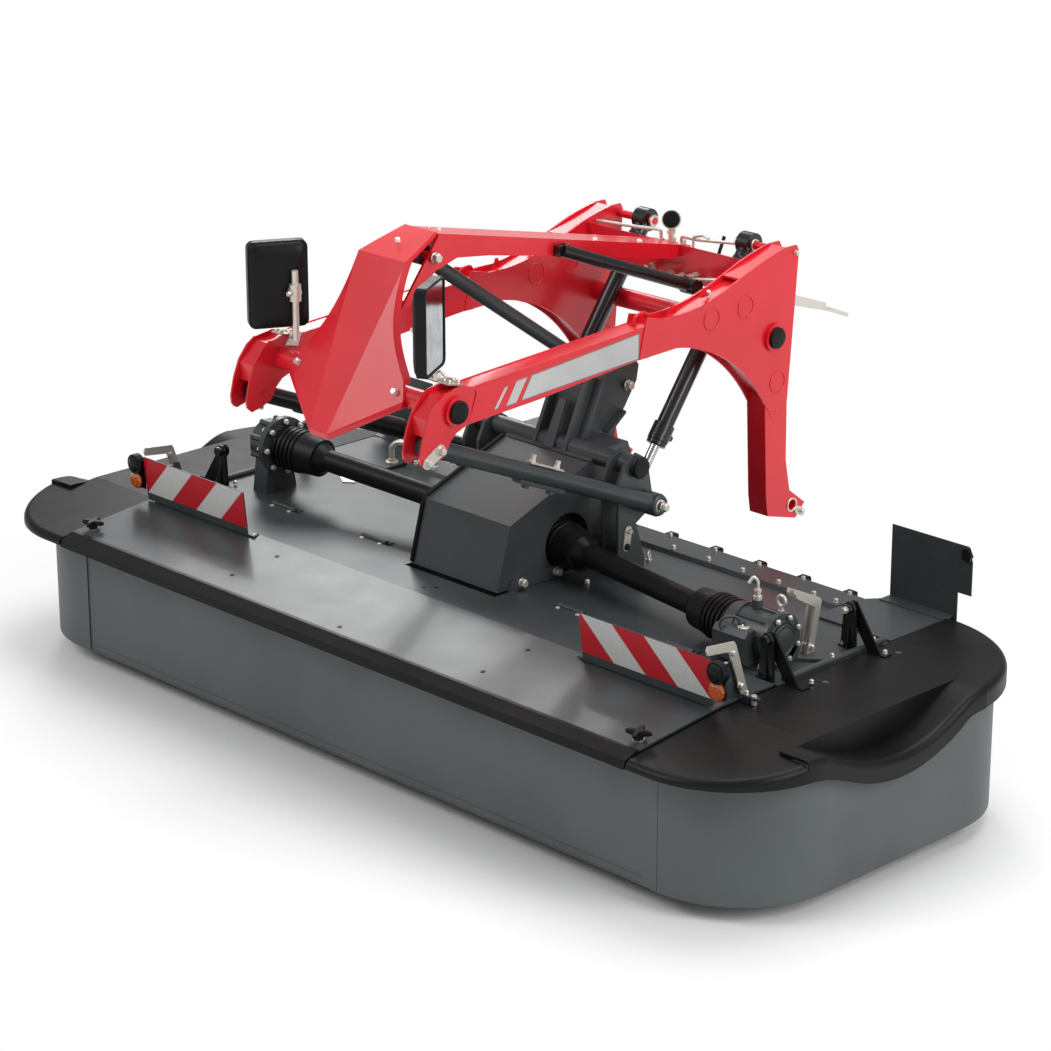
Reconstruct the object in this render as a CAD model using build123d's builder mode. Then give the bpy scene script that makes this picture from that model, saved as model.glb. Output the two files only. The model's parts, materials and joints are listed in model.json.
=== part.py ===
"""Front-mounted disc mower conditioner with its lift arch, in millimetres.

+Z is up from the ground under the skids, +X is the side of the drive gearbox
and -Y is the way the machine travels. The origin lies midway between the
foremost and the rearmost point.
"""
from build123d import *
from math import cos, pi, radians, sin
import os

os.makedirs("parts", exist_ok=True)

# Body of the mower
RIM_HALF_WIDTH = 1530
RIM_FRONT = -905
RIM_REAR = 375
RIM_CORNER = 310
RIM_BOTTOM = 405
CURTAIN_HALF_WIDTH = 1480
CURTAIN_FRONT = -819
CURTAIN_THICKNESS = 5
CURTAIN_BOTTOM = 50
SEAM = 1147
SEAM_GAP = 6
DECK_HALF = SEAM - SEAM_GAP / 2
DECK_TOP = 458
SHEET = 6

# Flap over the cutter bar
FLAP_REAR = -336
FLAP_BEND = -545
FLAP_FRONT = -850
FLAP_TOP = 466
FLAP_EDGE_TOP = 434

# Lift arch
ARCH_OUTER = 381
ARCH_INNER = 310
ARCH_PLATE = 6
LINK_X = 345
HOOK_PIN = (-803, 1023)
MAST_TOP_PIN = (-522, 1425)
LINK_BALL = (40, 667)
MAST_PIN = (215, 917)
FRONT_TUBE = (-745, 1116)
REAR_TUBE = (492, 1065)
TUBE_RADIUS = 29
CYLINDER_X = 205
CYLINDER_EYE = (575, 1290)
CYLINDER_FOOT = (8, 515)

# Cutter bar and conditioner
DISC_COUNT = 7
DISC_PITCH = 410
DISC_RADIUS = 165
BLADE_TIP = 228
BAR_Y = -500
BAR_TOP = 85
ROTOR_Y = -50
ROTOR_Z = 252
ROTOR_HALF = 880
ROTOR_GAP = 25
ROTOR_TIP = 168
ROTOR_SHAFT = 25


def save(piece, name):
    """Name a finished piece and write its file."""
    piece.label = name
    export_step(piece, f"parts/{name}.step")


def plate_yz(outline, x_from, x_to):
    """A plate of straight edges, cut to an outline in Y and Z."""
    with BuildPart() as plate:
        with BuildSketch(Plane.YZ.offset(x_from)):
            with BuildLine():
                Polyline(*outline, close=True)
            make_face()
        extrude(amount=x_to - x_from)
    return plate.part


def plate_xz(outline, y_from, y_to):
    """A plate of straight edges, cut to an outline in X and Z."""
    with BuildPart() as plate:
        with BuildSketch(Plane.XZ.offset(-y_to)):
            with BuildLine():
                Polyline(*outline, close=True)
            make_face()
        extrude(amount=y_to - y_from)
    return plate.part


def plate_xy(outline, z_from, z_to):
    """A plate of straight edges, cut to an outline in X and Y."""
    with BuildPart() as plate:
        with BuildSketch(Plane.XY.offset(z_from)):
            with BuildLine():
                Polyline(*outline, close=True)
            make_face()
        extrude(amount=z_to - z_from)
    return plate.part


def block(x_span, y_span, z_span):
    """A plain box between three pairs of limits."""
    corners = [(x_span[0], y_span[0]), (x_span[1], y_span[0]), (x_span[1], y_span[1]), (x_span[0], y_span[1])]
    return plate_xy(corners, z_span[0], z_span[1])


def bar(start, end, radius, bore=0):
    """A round bar or tube from one point to another."""
    path = Vector(*end) - Vector(*start)
    with BuildPart() as piece:
        with BuildSketch(Plane(origin=start, z_dir=path)):
            Circle(radius)
            if bore:
                Circle(bore, mode=Mode.SUBTRACT)
        extrude(amount=path.length)
    return piece.part


def eye(x_from, x_to, centre, radius, bore=0):
    """A round boss along X at a point in Y and Z."""
    return bar((x_from, *centre), (x_to, *centre), radius, bore)


def between(start, end, share):
    """The point a share of the way from one Y and Z place to another."""
    return tuple(a + (b - a) * share for a, b in zip(start, end))


def turned(start, end, stations):
    """A body turned about a line: stations are (distance along the line, radius)."""
    line = Vector(*end) - Vector(*start)
    across = Vector(0, 1, 0) if abs(line.normalized().Z) > 0.9 else Vector(0, 0, 1)
    frame = Plane(origin=start, x_dir=line, z_dir=line.cross(across))
    profile = [(stations[0][0], 0), *stations, (stations[-1][0], 0)]
    with BuildPart() as piece:
        with BuildSketch(frame):
            with BuildLine():
                Polyline(*profile, close=True)
            make_face()
        revolve(axis=Axis(start, line))
    return piece.part


def both_sides(piece):
    """A piece of the +X side with its mirror image on the -X side."""
    with BuildPart() as pair:
        add(piece)
        mirror(about=Plane.YZ)
    return pair.part


def other_side(piece):
    """The mirror image of a +X piece alone."""
    with BuildPart() as image:
        mirror(piece, about=Plane.YZ)
    return image.part


# Deck, cross beam and end walls, the base that everything stands on
FRAME_WALL_X = 1126
BEAM_Y = (190, 290)
BEAM_Z = 330
BAR_REAR = BAR_Y + 100
DECK_FRONT = FLAP_REAR + 4
DECK_FOLD = 10
DECK_REAR = 340
DECK_REAR_TOP = 438
HINGE_X = 1100
HINGE_Z = 570
HINGE_YS = (-322, 5)
HINGE_PIN = 8
FLAP_AXIS = (-336, 467)
FLAP_HINGE_XS = (-800, -400, 400, 800)
KNUCKLE = 50
KNUCKLE_RADIUS = 8


def deck_under(y):
    """Height of the deck sheet's underside: level, then falling to the rear edge."""
    fall = max(0, (y - DECK_FOLD) / (DECK_REAR - DECK_FOLD))
    return DECK_TOP - SHEET - fall * (DECK_TOP - DECK_REAR_TOP)


with BuildPart() as deck_frame:
    wall_outline = [
        (BAR_REAR, 45), (BAR_REAR, 80), (-290, 88), (-262, 130), (-320, 440), (-320, deck_under(-320)),
        (DECK_FOLD, deck_under(DECK_FOLD)), (330, deck_under(330)), (330, 300), (280, 90),
        (260, 0), (180, 0), (150, 90), (-200, 45),
    ]
    add(both_sides(plate_yz(wall_outline, FRAME_WALL_X - 8, FRAME_WALL_X)))
    beam = [(BEAM_Y[0], deck_under(BEAM_Y[0])), (BEAM_Y[1], deck_under(BEAM_Y[1])), (BEAM_Y[1], BEAM_Z)]
    beam += [(BEAM_Y[0], BEAM_Z)]
    add(plate_yz(beam, -FRAME_WALL_X, FRAME_WALL_X))
    add(block((-FRAME_WALL_X, FRAME_WALL_X), (-320, -280), (446, DECK_TOP - SHEET)))
    add(block((-FRAME_WALL_X, FRAME_WALL_X), (-320, -314), (405, DECK_TOP - SHEET)))
save(deck_frame.part, "deck_frame")

with BuildPart() as deck_plate:
    under = [(y, deck_under(y)) for y in (DECK_FRONT, DECK_FOLD, DECK_REAR)]
    top = [(y, z + SHEET) for y, z in reversed(under)]
    add(plate_yz(under + top, -DECK_HALF, DECK_HALF))
    for x in FLAP_HINGE_XS:
        for side in (-1, 1):
            start = x + side * (KNUCKLE / 2 + 0.5) - (KNUCKLE / 2 if side < 0 else 0)
            add(eye(start, start + KNUCKLE / 2, FLAP_AXIS, KNUCKLE_RADIUS))
            add(block((start, start + KNUCKLE / 2), (FLAP_AXIS[0], FLAP_AXIS[0] + 30), (DECK_TOP - 1, DECK_TOP + 4)))
        add(eye(x - KNUCKLE / 2 - 1, x + KNUCKLE / 2 + 1, FLAP_AXIS, HINGE_PIN / 2))
    side_panel = [(880, 120), (DECK_HALF, 120), (DECK_HALF, RIM_REAR), (940, RIM_REAR), (880, 300)]
    add(both_sides(plate_xy(side_panel, DECK_TOP - SHEET, DECK_TOP)))
    add(both_sides(bar((SEAM - 12, -300, 464), (SEAM - 12, 100, 464), 9)))
save(deck_plate.part, "deck_plate")

with BuildPart() as cover_hinges:
    bracket = [(1072, DECK_TOP), (1124, DECK_TOP), (1118, 572), (1108, 588), (1092, 588), (1082, 572)]
    for y in HINGE_YS:
        add(both_sides(plate_xz(bracket, y - 8, y)))
        add(both_sides(block((1066, 1122), (y - 10, y + 2), (DECK_TOP, DECK_TOP + 5))))
        add(both_sides(plate_yz([(y - 16, DECK_TOP), (y, DECK_TOP), (y, 545), (y - 8, 545)], 1098, 1104)))
        add(both_sides(bar((HINGE_X, y - 22, HINGE_Z), (HINGE_X, y + 20, HINGE_Z), HINGE_PIN)))
        add(both_sides(bar((HINGE_X, y - 22, HINGE_Z), (HINGE_X, y - 8, HINGE_Z), 14)))
save(cover_hinges.part, "cover_hinges")

with BuildPart() as rear_warning_boards:
    board = [
        (925, 440), (1158, 440), (1158, 530), (1204, 530), (1204, 625),
        (1190, 668), (925, 668),
    ]
    add(both_sides(plate_xz(board, RIM_REAR + 6, RIM_REAR + 9)))
    add(both_sides(block((925, 1146), (RIM_REAR - 40, RIM_REAR + 9), (DECK_TOP, DECK_TOP + 3))))
save(rear_warning_boards.part, "rear_warning_boards")

with BuildPart() as rear_strip:
    add(plate_yz([(DECK_REAR, 438), (372, 427), (372, 395), (366, 395), (366, 421), (DECK_REAR, 431)], -870, 870))
save(rear_strip.part, "rear_rubber_strip")

# Cover over the centre gearbox: a folded sheet box, open below and behind
COVER_HALF = 175
SHAFT_NEAR = (-128, 552)
with BuildPart() as gearbox_cover:
    outside = [(-400, 470), (-350, 653), (-42, 766), (-42, DECK_TOP), (-300, DECK_TOP), (-330, 470)]
    inside = [(-395, 440), (-395, 469), (-346, 650), (-46, 761), (-40, 761), (-40, 440)]
    add(plate_yz(outside, -COVER_HALF, COVER_HALF))
    add(plate_yz(inside, -COVER_HALF + 4, COVER_HALF - 4), mode=Mode.SUBTRACT)
    add(eye(-COVER_HALF - 1, COVER_HALF + 1, SHAFT_NEAR, 85), mode=Mode.SUBTRACT)
save(gearbox_cover.part, "gearbox_cover")

# Mast with the link brackets and their cross tube
MAST_X = 66
BRACKET_X = 304
CROSS_TUBE = (7, 775)
with BuildPart() as mast:
    add(plate_yz([(-36, DECK_TOP), (-36, 767), (20, 792), (120, 792), (150, 700), (150, DECK_TOP)], -170, 170))
    mast_outline = [
        (-36, 760), (60, 964), (70, 990), (250, 990), (270, 965), (262, 920), (178, 800), (150, 650), (-36, 650),
    ]
    add(block((-116, 116), (-40, 152), (DECK_TOP - 1, 645)), mode=Mode.SUBTRACT)
    add(both_sides(plate_yz(mast_outline, MAST_X - 12, MAST_X)))
    add(plate_yz([(20, 790), (70, 940), (100, 940), (110, 790)], -MAST_X, MAST_X))
    add(eye(-330, 330, CROSS_TUBE, 28))
    bracket_outline = [
        (-66, DECK_TOP), (-66, 740), (-40, 790), (7, 815), (48, 790), (66, 700),
        (72, 667), (50, 635), (5, 610), (40, 500), (40, DECK_TOP),
    ]
    for x in (BRACKET_X, 246):
        add(both_sides(plate_yz(bracket_outline, x, x + 10)))
    add(both_sides(bar((BRACKET_X, *LINK_BALL), (384, *LINK_BALL), 12)))
    add(both_sides(bar((150, *CYLINDER_FOOT), (BRACKET_X + 10, *CYLINDER_FOOT), 12)))
    add(both_sides(plate_yz([(-30, DECK_TOP), (-30, 530), (8, 545), (46, 530), (46, DECK_TOP)], 150, 160)))
    add(eye(-MAST_X - 10, MAST_X + 10, MAST_PIN, 12))
save(mast.part, "mast")

STUB_RADIUS = 17.45
with BuildPart() as centre_gearbox:
    add(block((-110, 110), (-290, 148), (DECK_TOP, 640)))
    add(bar((0, 140, 580), (0, 175, 580), 60))
    add(bar((0, 160, 580), (0, 260, 580), STUB_RADIUS))
save(centre_gearbox.part, "centre_gearbox")

# Gearboxes over the two ends and the guarded shafts that reach them
RIGHT_BOX = (-227, 532)
LEFT_BOX = (-222, 603)
BELLOWS = 66
RIBS = 6
with BuildPart() as side_gearboxes:
    add(bar((905, *RIGHT_BOX), (1050, *RIGHT_BOX), 66))
    for x_from, x_to in ((930, 942), (1046, 1062)):
        add(bar((x_from, *RIGHT_BOX), (x_to, *RIGHT_BOX), 72))
    add(bar((1060, *RIGHT_BOX), (1068, *RIGHT_BOX), 44))
    for turn in range(8):
        angle = pi / 4 * turn + pi / 8
        bolt = (RIGHT_BOX[0] + 61 * cos(angle), RIGHT_BOX[1] + 61 * sin(angle))
        add(eye(1042, 1066, bolt, 8))
    add(block((936, 1052), (-275, -175), (DECK_TOP, 500)))
    add(block((915, 1055), (-300, -150), (DECK_TOP, DECK_TOP + 8)))
    add(plate_yz([(-325, 478), (-325, 548), (-312, 563), (-262, 563), (-262, 470), (-316, 470)], 906, 1020))
    add(bar((975, RIGHT_BOX[0], 590), (975, RIGHT_BOX[0], 622), 14))
    add(bar((-1010, *LEFT_BOX), (-920, *LEFT_BOX), 66))
    add(bar((-944, *LEFT_BOX), (-926, *LEFT_BOX), 88))
    for turn in range(8):
        angle = pi / 4 * turn
        bolt = (LEFT_BOX[0] + 77 * cos(angle), LEFT_BOX[1] + 77 * sin(angle))
        add(eye(-950, -920.5, bolt, 9))
        rib = (LEFT_BOX[0] + 70 * cos(angle + 0.39), LEFT_BOX[1] + 70 * sin(angle + 0.39))
        add(eye(-1000, -940, rib, 9))
    add(plate_yz([(-280, DECK_TOP), (-262, 590), (-180, 590), (-160, DECK_TOP)], -1010, -950))
save(side_gearboxes.part, "side_gearboxes")


def shaft_guard(start, end):
    """A tube guard with a ribbed cone at each end, along one line."""
    length = (Vector(*end) - Vector(*start)).length
    cone = 165
    near = []
    for rib in range(RIBS):
        at = rib * cone * 0.6 / RIBS
        near += [(at, BELLOWS), (at + 9, BELLOWS), (at + 12, BELLOWS - 7), (at + 15, BELLOWS - 7)]
    near += [(0.6 * cone, BELLOWS - 2), (0.75 * cone, 60), (cone, 57), (cone, 48), (cone + 30, 33)]
    far = [(length - at, radius) for at, radius in reversed(near)]
    return turned(start, end, near + far)


with BuildPart() as shaft_guards:
    add(shaft_guard((95, *SHAFT_NEAR), (925, *RIGHT_BOX)))
    add(shaft_guard((-95, *SHAFT_NEAR), (-940, *LEFT_BOX)))
    for x_span in ((-1100, -920), (-110, 110), (905, 1100)):
        add(block(x_span, (-400, 0), (DECK_TOP, 750)), mode=Mode.SUBTRACT)
save(shaft_guards.part, "shaft_guards")


def handle_outline(foot, elbow, tip):
    """A bent flat bar in Y and Z: a leg from its foot to an elbow, and a grip on to its tip."""
    leg = [(foot[0] - 13, foot[1]), (foot[0] + 13, foot[1]), (elbow[0] + 13, elbow[1]), (elbow[0] + 6, elbow[1] + 11)]
    grip = [(tip[0], tip[1] + 12), (tip[0] - 4, tip[1]), (tip[0], tip[1] - 12), (elbow[0] - 12, elbow[1] - 12)]
    return leg + grip


with BuildPart() as latch_handles:
    add(plate_yz(handle_outline((-104, DECK_TOP), (-74, 595), (-163, 639)), 1046, 1054))
    add(plate_yz(handle_outline((-104, DECK_TOP), (-74, 595), (-163, 639)), 1022, 1030))
    add(block((1022, 1054), (-113, -86), (DECK_TOP, DECK_TOP + 8)))
save(latch_handles.part, "latch_handles")

with BuildPart() as flap_latches:
    add(both_sides(plate_yz(handle_outline((-449, FLAP_TOP), (-498, 609), (-591, 620)), 1128, 1134)))
save(flap_latches.part, "flap_latches")

# Below the deck: cutter bar, skids, discs, conditioner
with BuildPart() as cutter_bar:
    bar_outline = [(BAR_Y - 90, 52), (BAR_Y - 70, 36), (BAR_Y + 80, 36), (BAR_REAR, 45), (BAR_REAR, 80)]
    bar_outline += [(BAR_Y + 70, BAR_TOP), (BAR_Y - 60, BAR_TOP), (BAR_Y - 82, 78)]
    add(plate_yz(bar_outline, -1380, 1380))
save(cutter_bar.part, "cutter_bar")

disc_xs = [DISC_PITCH * (i - (DISC_COUNT - 1) / 2) for i in range(DISC_COUNT)]
with BuildPart() as skids:
    skid_outline = [(BAR_Y - 150, 40), (BAR_Y - 110, 12), (BAR_Y - 50, 0), (BAR_Y + 220, 0), (BAR_Y + 225, 8)]
    skid_outline += [(BAR_Y + 180, 36), (BAR_Y - 70, 36), (BAR_Y - 100, 36), (BAR_Y - 135, 52)]
    for x in disc_xs:
        add(plate_yz(skid_outline, x - 90, x + 90))
save(skids.part, "skids")

for number, x in enumerate(disc_xs, start=1):
    turn = 90 * (number % 2)
    with BuildPart() as disc:
        add(bar((x, BAR_Y, BAR_TOP + 0.3), (x, BAR_Y, 100), 45))
        with BuildSketch(Plane(origin=(x, BAR_Y, 98), x_dir=(cos(radians(turn)), sin(radians(turn)), 0))):
            Ellipse(DISC_RADIUS, DISC_RADIUS * 0.8)
        extrude(amount=10)
        add(turned((x, BAR_Y, 104), (x, BAR_Y, 150), [(0, 110), (12, 100), (34, 62), (46, 58)]))
        for side in (0, 180):
            angle = radians(turn + side)
            along = Vector(cos(angle), sin(angle), 0)
            with BuildSketch(Plane(origin=Vector(x, BAR_Y, 94) + along * (BLADE_TIP - 50), x_dir=along)):
                Rectangle(100, 44)
            extrude(amount=4)
    save(disc.part, f"disc_{number}")

with BuildPart() as tined_rotor:
    axle = (ROTOR_Y, ROTOR_Z)
    add(eye(-ROTOR_HALF, ROTOR_HALF, axle, 60))
    add(eye(-ROTOR_HALF - 36, ROTOR_HALF + 36, axle, ROTOR_SHAFT))
    rows = 6
    for row in range(rows):
        for step in range(12):
            x = -ROTOR_HALF + 90 + step * 145 + (row % 2) * 72
            angle = 2 * pi * row / rows
            tip = (x, ROTOR_Y + ROTOR_TIP * cos(angle), ROTOR_Z + ROTOR_TIP * sin(angle))
            root = (x, ROTOR_Y + 50 * cos(angle), ROTOR_Z + 50 * sin(angle))
            add(bar(root, tip, 7))
save(tined_rotor.part, "tined_rotor")

with BuildPart() as conditioner_hood:
    with BuildSketch(Plane.YZ.offset(-ROTOR_HALF - ROTOR_GAP)):
        with Locations((ROTOR_Y, ROTOR_Z)):
            Circle(190)
            Circle(184, mode=Mode.SUBTRACT)
        with Locations((ROTOR_Y, ROTOR_Z - 120)):
            Rectangle(400, 240, mode=Mode.SUBTRACT)
    extrude(amount=2 * (ROTOR_HALF + ROTOR_GAP))
    for x in (-ROTOR_HALF - ROTOR_GAP - SHEET, ROTOR_HALF + ROTOR_GAP):
        cheek = [(-250, 95), (-240, 400), (-200, 440), (110, 440), (BEAM_Y[0], 425), (BEAM_Y[0], 300), (150, 120)]
        add(plate_yz(cheek, x, x + SHEET))
    add(eye(-ROTOR_HALF - 40, ROTOR_HALF + 40, (ROTOR_Y, ROTOR_Z), ROTOR_SHAFT + 0.05), mode=Mode.SUBTRACT)
save(conditioner_hood.part, "conditioner_hood")

swath_right = plate_yz([(200, 90), (200, 318), (340, 318), (350, 290), (350, 110)], ROTOR_HALF, ROTOR_HALF + 4)
with BuildPart() as swath_board_right:
    add(swath_right)
    add(bar((ROTOR_HALF + 2, 200, 90), (ROTOR_HALF + 2, 200, BEAM_Z - 0.2), 7))
save(swath_board_right.part, "swath_board_right")
save(other_side(swath_board_right.part), "swath_board_left")

# Front flap with its bumper, curtain, boards and lamps
FLAP_SHEET = 5


def flap_under(y):
    """Height of the flap's underside on its sloping front part."""
    rise = (y - FLAP_FRONT) / (FLAP_BEND - FLAP_FRONT)
    return FLAP_EDGE_TOP - FLAP_SHEET + rise * (FLAP_TOP - FLAP_EDGE_TOP)


with BuildPart() as front_flap:
    top = [(FLAP_REAR - 10, FLAP_TOP), (FLAP_BEND, FLAP_TOP), (FLAP_FRONT, FLAP_EDGE_TOP)]
    under = [(y, z - FLAP_SHEET) for y, z in reversed(top)]
    add(plate_yz(top + under, -DECK_HALF, DECK_HALF))
    add(block((-COVER_HALF - 8, COVER_HALF + 8), (-418, FLAP_REAR + 1), (440, 480)), mode=Mode.SUBTRACT)
    for x in FLAP_HINGE_XS:
        add(block((x - KNUCKLE / 2, x + KNUCKLE / 2), (FLAP_REAR - 12, FLAP_REAR), (FLAP_TOP - FLAP_SHEET, FLAP_TOP)))
        add(eye(x - KNUCKLE / 2, x + KNUCKLE / 2, FLAP_AXIS, KNUCKLE_RADIUS))
        add(eye(x - KNUCKLE / 2, x + KNUCKLE / 2, FLAP_AXIS, HINGE_PIN / 2 + 0.05), mode=Mode.SUBTRACT)
save(front_flap.part, "front_flap")

BUMPER_BOTTOM = 397
with BuildPart() as front_bumper:
    outline = [(RIM_FRONT, BUMPER_BOTTOM), (RIM_FRONT + 6, BUMPER_BOTTOM + 22), (RIM_FRONT + 43, FLAP_EDGE_TOP)]
    outline += [(FLAP_FRONT, FLAP_EDGE_TOP), (FLAP_FRONT, flap_under(FLAP_FRONT)), (-800, flap_under(-800))]
    outline += [(-800, BUMPER_BOTTOM)]
    add(plate_yz(outline, -DECK_HALF, DECK_HALF))
save(front_bumper.part, "front_bumper")

with BuildPart() as front_curtain:
    add(block((-DECK_HALF, DECK_HALF), (CURTAIN_FRONT, CURTAIN_FRONT + CURTAIN_THICKNESS), (CURTAIN_BOTTOM, BUMPER_BOTTOM)))
save(front_curtain.part, "front_curtain")

BOARD_END = 1141
with BuildPart() as front_boards:
    add(both_sides(plate_yz([(-577, FLAP_TOP), (-591, 602), (-588, 602), (-574, FLAP_TOP)], 680, BOARD_END)))
    add(both_sides(block((690, 1120), (-577, FLAP_BEND), (FLAP_TOP, FLAP_TOP + 3))))
save(front_boards.part, "front_warning_boards")

with BuildPart() as marker_lamps:
    add(both_sides(bar((1171, -604, 575), (1171, -584, 575), 30)))
    add(both_sides(bar((1171, -596, 525), (1171, -588, 525), 27)))
    add(both_sides(block((BOARD_END, 1190), (-587, -583), (500, 590))))
save(marker_lamps.part, "marker_lamps")

with BuildPart() as star_knobs:
    for turn in range(4):
        angle = pi / 2 * turn + pi / 4
        arm = Vector(cos(angle), sin(angle), 0) * 30
        centre = Vector(1106, -811, 458)
        add(both_sides(bar(tuple(centre), tuple(centre + arm), 6)))
    add(both_sides(bar((1106, -811, 439.8), (1106, -811, 466), 14)))
save(star_knobs.part, "star_knobs")

# End covers with their curtains, folding up about a line above the seam
SEAM_INNER = SEAM + SEAM_GAP / 2
COVER_WALL = 8
RIM_ROUND = 20
COVER_BOTTOM = 400
LIP = DECK_TOP - COVER_BOTTOM
POCKET_DEPTH = 93
POCKET_X = RIM_HALF_WIDTH - POCKET_DEPTH
DIP_ENDS = (-650, 40)
DIP = [(-565, 386), (-445, 339), (-269, 312), (-130, 341), (-55, 375)]


def cover_block(inset):
    """The end cover's plan, drawn in by a distance, as a block up to the cover's top."""
    front = RIM_FRONT + inset
    side = RIM_HALF_WIDTH - inset
    corner = RIM_CORNER - inset
    sweep = RIM_HALF_WIDTH - SEAM_INNER - inset
    rear = RIM_REAR - inset
    near = SEAM_INNER
    with BuildPart() as plan:
        with BuildSketch(Plane.XY.offset(COVER_BOTTOM)):
            with BuildLine():
                Line((near, front), (side - corner, front))
                RadiusArc((side - corner, front), (side, front + corner), -corner)
                Line((side, front + corner), (side, rear - sweep))
                RadiusArc((side, rear - sweep), (side - sweep, rear), -sweep)
                Line((near, rear), (near, front))
            make_face()
        extrude(amount=LIP)
    return plan.part


def cover_roof(drop):
    """Everything over the cover's top surface, moved down by a distance."""
    front = (RIM_FRONT - 10, 420 - drop)
    bend = (FLAP_BEND, DECK_TOP - drop)
    return plate_yz([front, bend, (500, DECK_TOP - drop), (500, 700), (RIM_FRONT - 10, 700)], 1000, 1700)


def dip_band(low, high, x_from, x_to):
    """The dipped stretch of the rim: a band between two heights over its lower edge."""
    start, end = DIP_ENDS
    with BuildPart() as band:
        with BuildSketch(Plane.YZ.offset(x_from)):
            with BuildLine():
                Spline(
                    (start, COVER_BOTTOM + low), *[(y, z + low) for y, z in DIP], (end, COVER_BOTTOM + low),
                    tangents=((1, 0), (1, 0)))
                Line((end, COVER_BOTTOM + low), (end, COVER_BOTTOM + high))
                Spline(
                    (end, COVER_BOTTOM + high), *[(y, z + high) for y, z in reversed(DIP)],
                    (start, COVER_BOTTOM + high), tangents=((-1, 0), (-1, 0)))
                Line((start, COVER_BOTTOM + high), (start, COVER_BOTTOM + low))
            make_face()
        extrude(amount=x_to - x_from)
    return band.part


def end_cover():
    """The +X cover: a hollow moulding whose rim dips in the middle of its side to make a handle."""
    with BuildPart() as hollow:
        add(cover_block(COVER_WALL))
        add(cover_roof(COVER_WALL), mode=Mode.SUBTRACT)
        near_wall = block((SEAM, SEAM_INNER + COVER_WALL), (RIM_FRONT - 5, RIM_REAR + 5), (RIM_BOTTOM - 10, 470))
        add(near_wall, mode=Mode.SUBTRACT)
    with BuildPart() as band:
        add(dip_band(0, LIP, POCKET_X - COVER_WALL, RIM_HALF_WIDTH))
        crease = band.edges().filter_by(lambda e: e.center().X > RIM_HALF_WIDTH - 1 and e.length > 500)
        fillet(crease.sort_by(Axis.Z)[-1:], radius=RIM_ROUND)
        add(dip_band(-1, LIP - COVER_WALL, POCKET_X, RIM_HALF_WIDTH - COVER_WALL), mode=Mode.SUBTRACT)
    with BuildPart() as cover:
        add(cover_block(0))
        add(cover_roof(0), mode=Mode.SUBTRACT)
        rim = [
            edge for edge in cover.edges()
            if edge.center().Z > RIM_BOTTOM + 15 and edge.center().X > SEAM_INNER + 1
            and edge.bounding_box().size.X + edge.bounding_box().size.Y > 1
            and abs(edge.center().Y - FLAP_BEND) > 1
        ]
        fillet(rim, radius=RIM_ROUND)
        add(hollow.part, mode=Mode.SUBTRACT)
        add(dip_band(-60, 160, POCKET_X, RIM_HALF_WIDTH + 1), mode=Mode.SUBTRACT)
        add(band.part)
        with BuildPart(mode=Mode.PRIVATE) as pocket_wall:
            add(dip_band(LIP - COVER_WALL, 150, POCKET_X - COVER_WALL, POCKET_X))
            add(cover_roof(0), mode=Mode.SUBTRACT)
        add(pocket_wall.part)
        add(outside_corner(), mode=Mode.SUBTRACT)
        for y in HINGE_YS:
            arm = [(1086, 560), (1096, 588), (1112, 588), (1200, DECK_TOP), (1160, DECK_TOP - 6)]
            add(plate_xz(arm, y + 6, y + 12))
            add(block((1158, 1215), (y + 4, y + 34), (DECK_TOP - 2, DECK_TOP + 4)))
            add(bar((HINGE_X, y + 6, HINGE_Z), (HINGE_X, y + 12, HINGE_Z), 18))
            add(bar((HINGE_X, y, HINGE_Z), (HINGE_X, y + 20, HINGE_Z), HINGE_PIN + 0.05), mode=Mode.SUBTRACT)
    return cover.part


def outside_corner():
    """What lies outside the front corner of the rim, where the dipped stretch would stand out."""
    corner = (RIM_HALF_WIDTH - RIM_CORNER, RIM_FRONT + RIM_CORNER)
    with BuildPart() as waste:
        add(block((corner[0], RIM_HALF_WIDTH + 20), (RIM_FRONT - 20, corner[1]), (280, 480)))
        add(bar((*corner, 270), (*corner, 490), RIM_CORNER), mode=Mode.SUBTRACT)
    return waste.part


def end_curtain(cover):
    """The +X curtain: one sheet round both corners of the cover, up to its underside."""
    corner = CURTAIN_HALF_WIDTH - 1185
    front = CURTAIN_FRONT
    rear = RIM_REAR - 45
    with BuildPart() as curtain:
        with BuildSketch(Plane.XY.offset(CURTAIN_BOTTOM)):
            with BuildLine():
                Line((SEAM_INNER + COVER_WALL, front), (1185, front))
                RadiusArc((1185, front), (CURTAIN_HALF_WIDTH, front + corner), -corner)
                Line((CURTAIN_HALF_WIDTH, front + corner), (CURTAIN_HALF_WIDTH, rear - corner))
                RadiusArc((CURTAIN_HALF_WIDTH, rear - corner), (1185, rear), -corner)
            trace(line_width=CURTAIN_THICKNESS)
        extrude(amount=DECK_TOP - COVER_WALL - CURTAIN_BOTTOM)
        add(cover_roof(COVER_WALL), mode=Mode.SUBTRACT)
        add(dip_band(LIP - COVER_WALL, 200, POCKET_X - COVER_WALL - 1, RIM_HALF_WIDTH), mode=Mode.SUBTRACT)
        add(cover, mode=Mode.SUBTRACT)
    return curtain.part


cover_right = end_cover()
save(cover_right, "end_cover_right")
save(other_side(cover_right), "end_cover_left")
curtain_right = end_curtain(cover_right)
save(curtain_right, "end_curtain_right")
save(other_side(curtain_right), "end_curtain_left")

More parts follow.
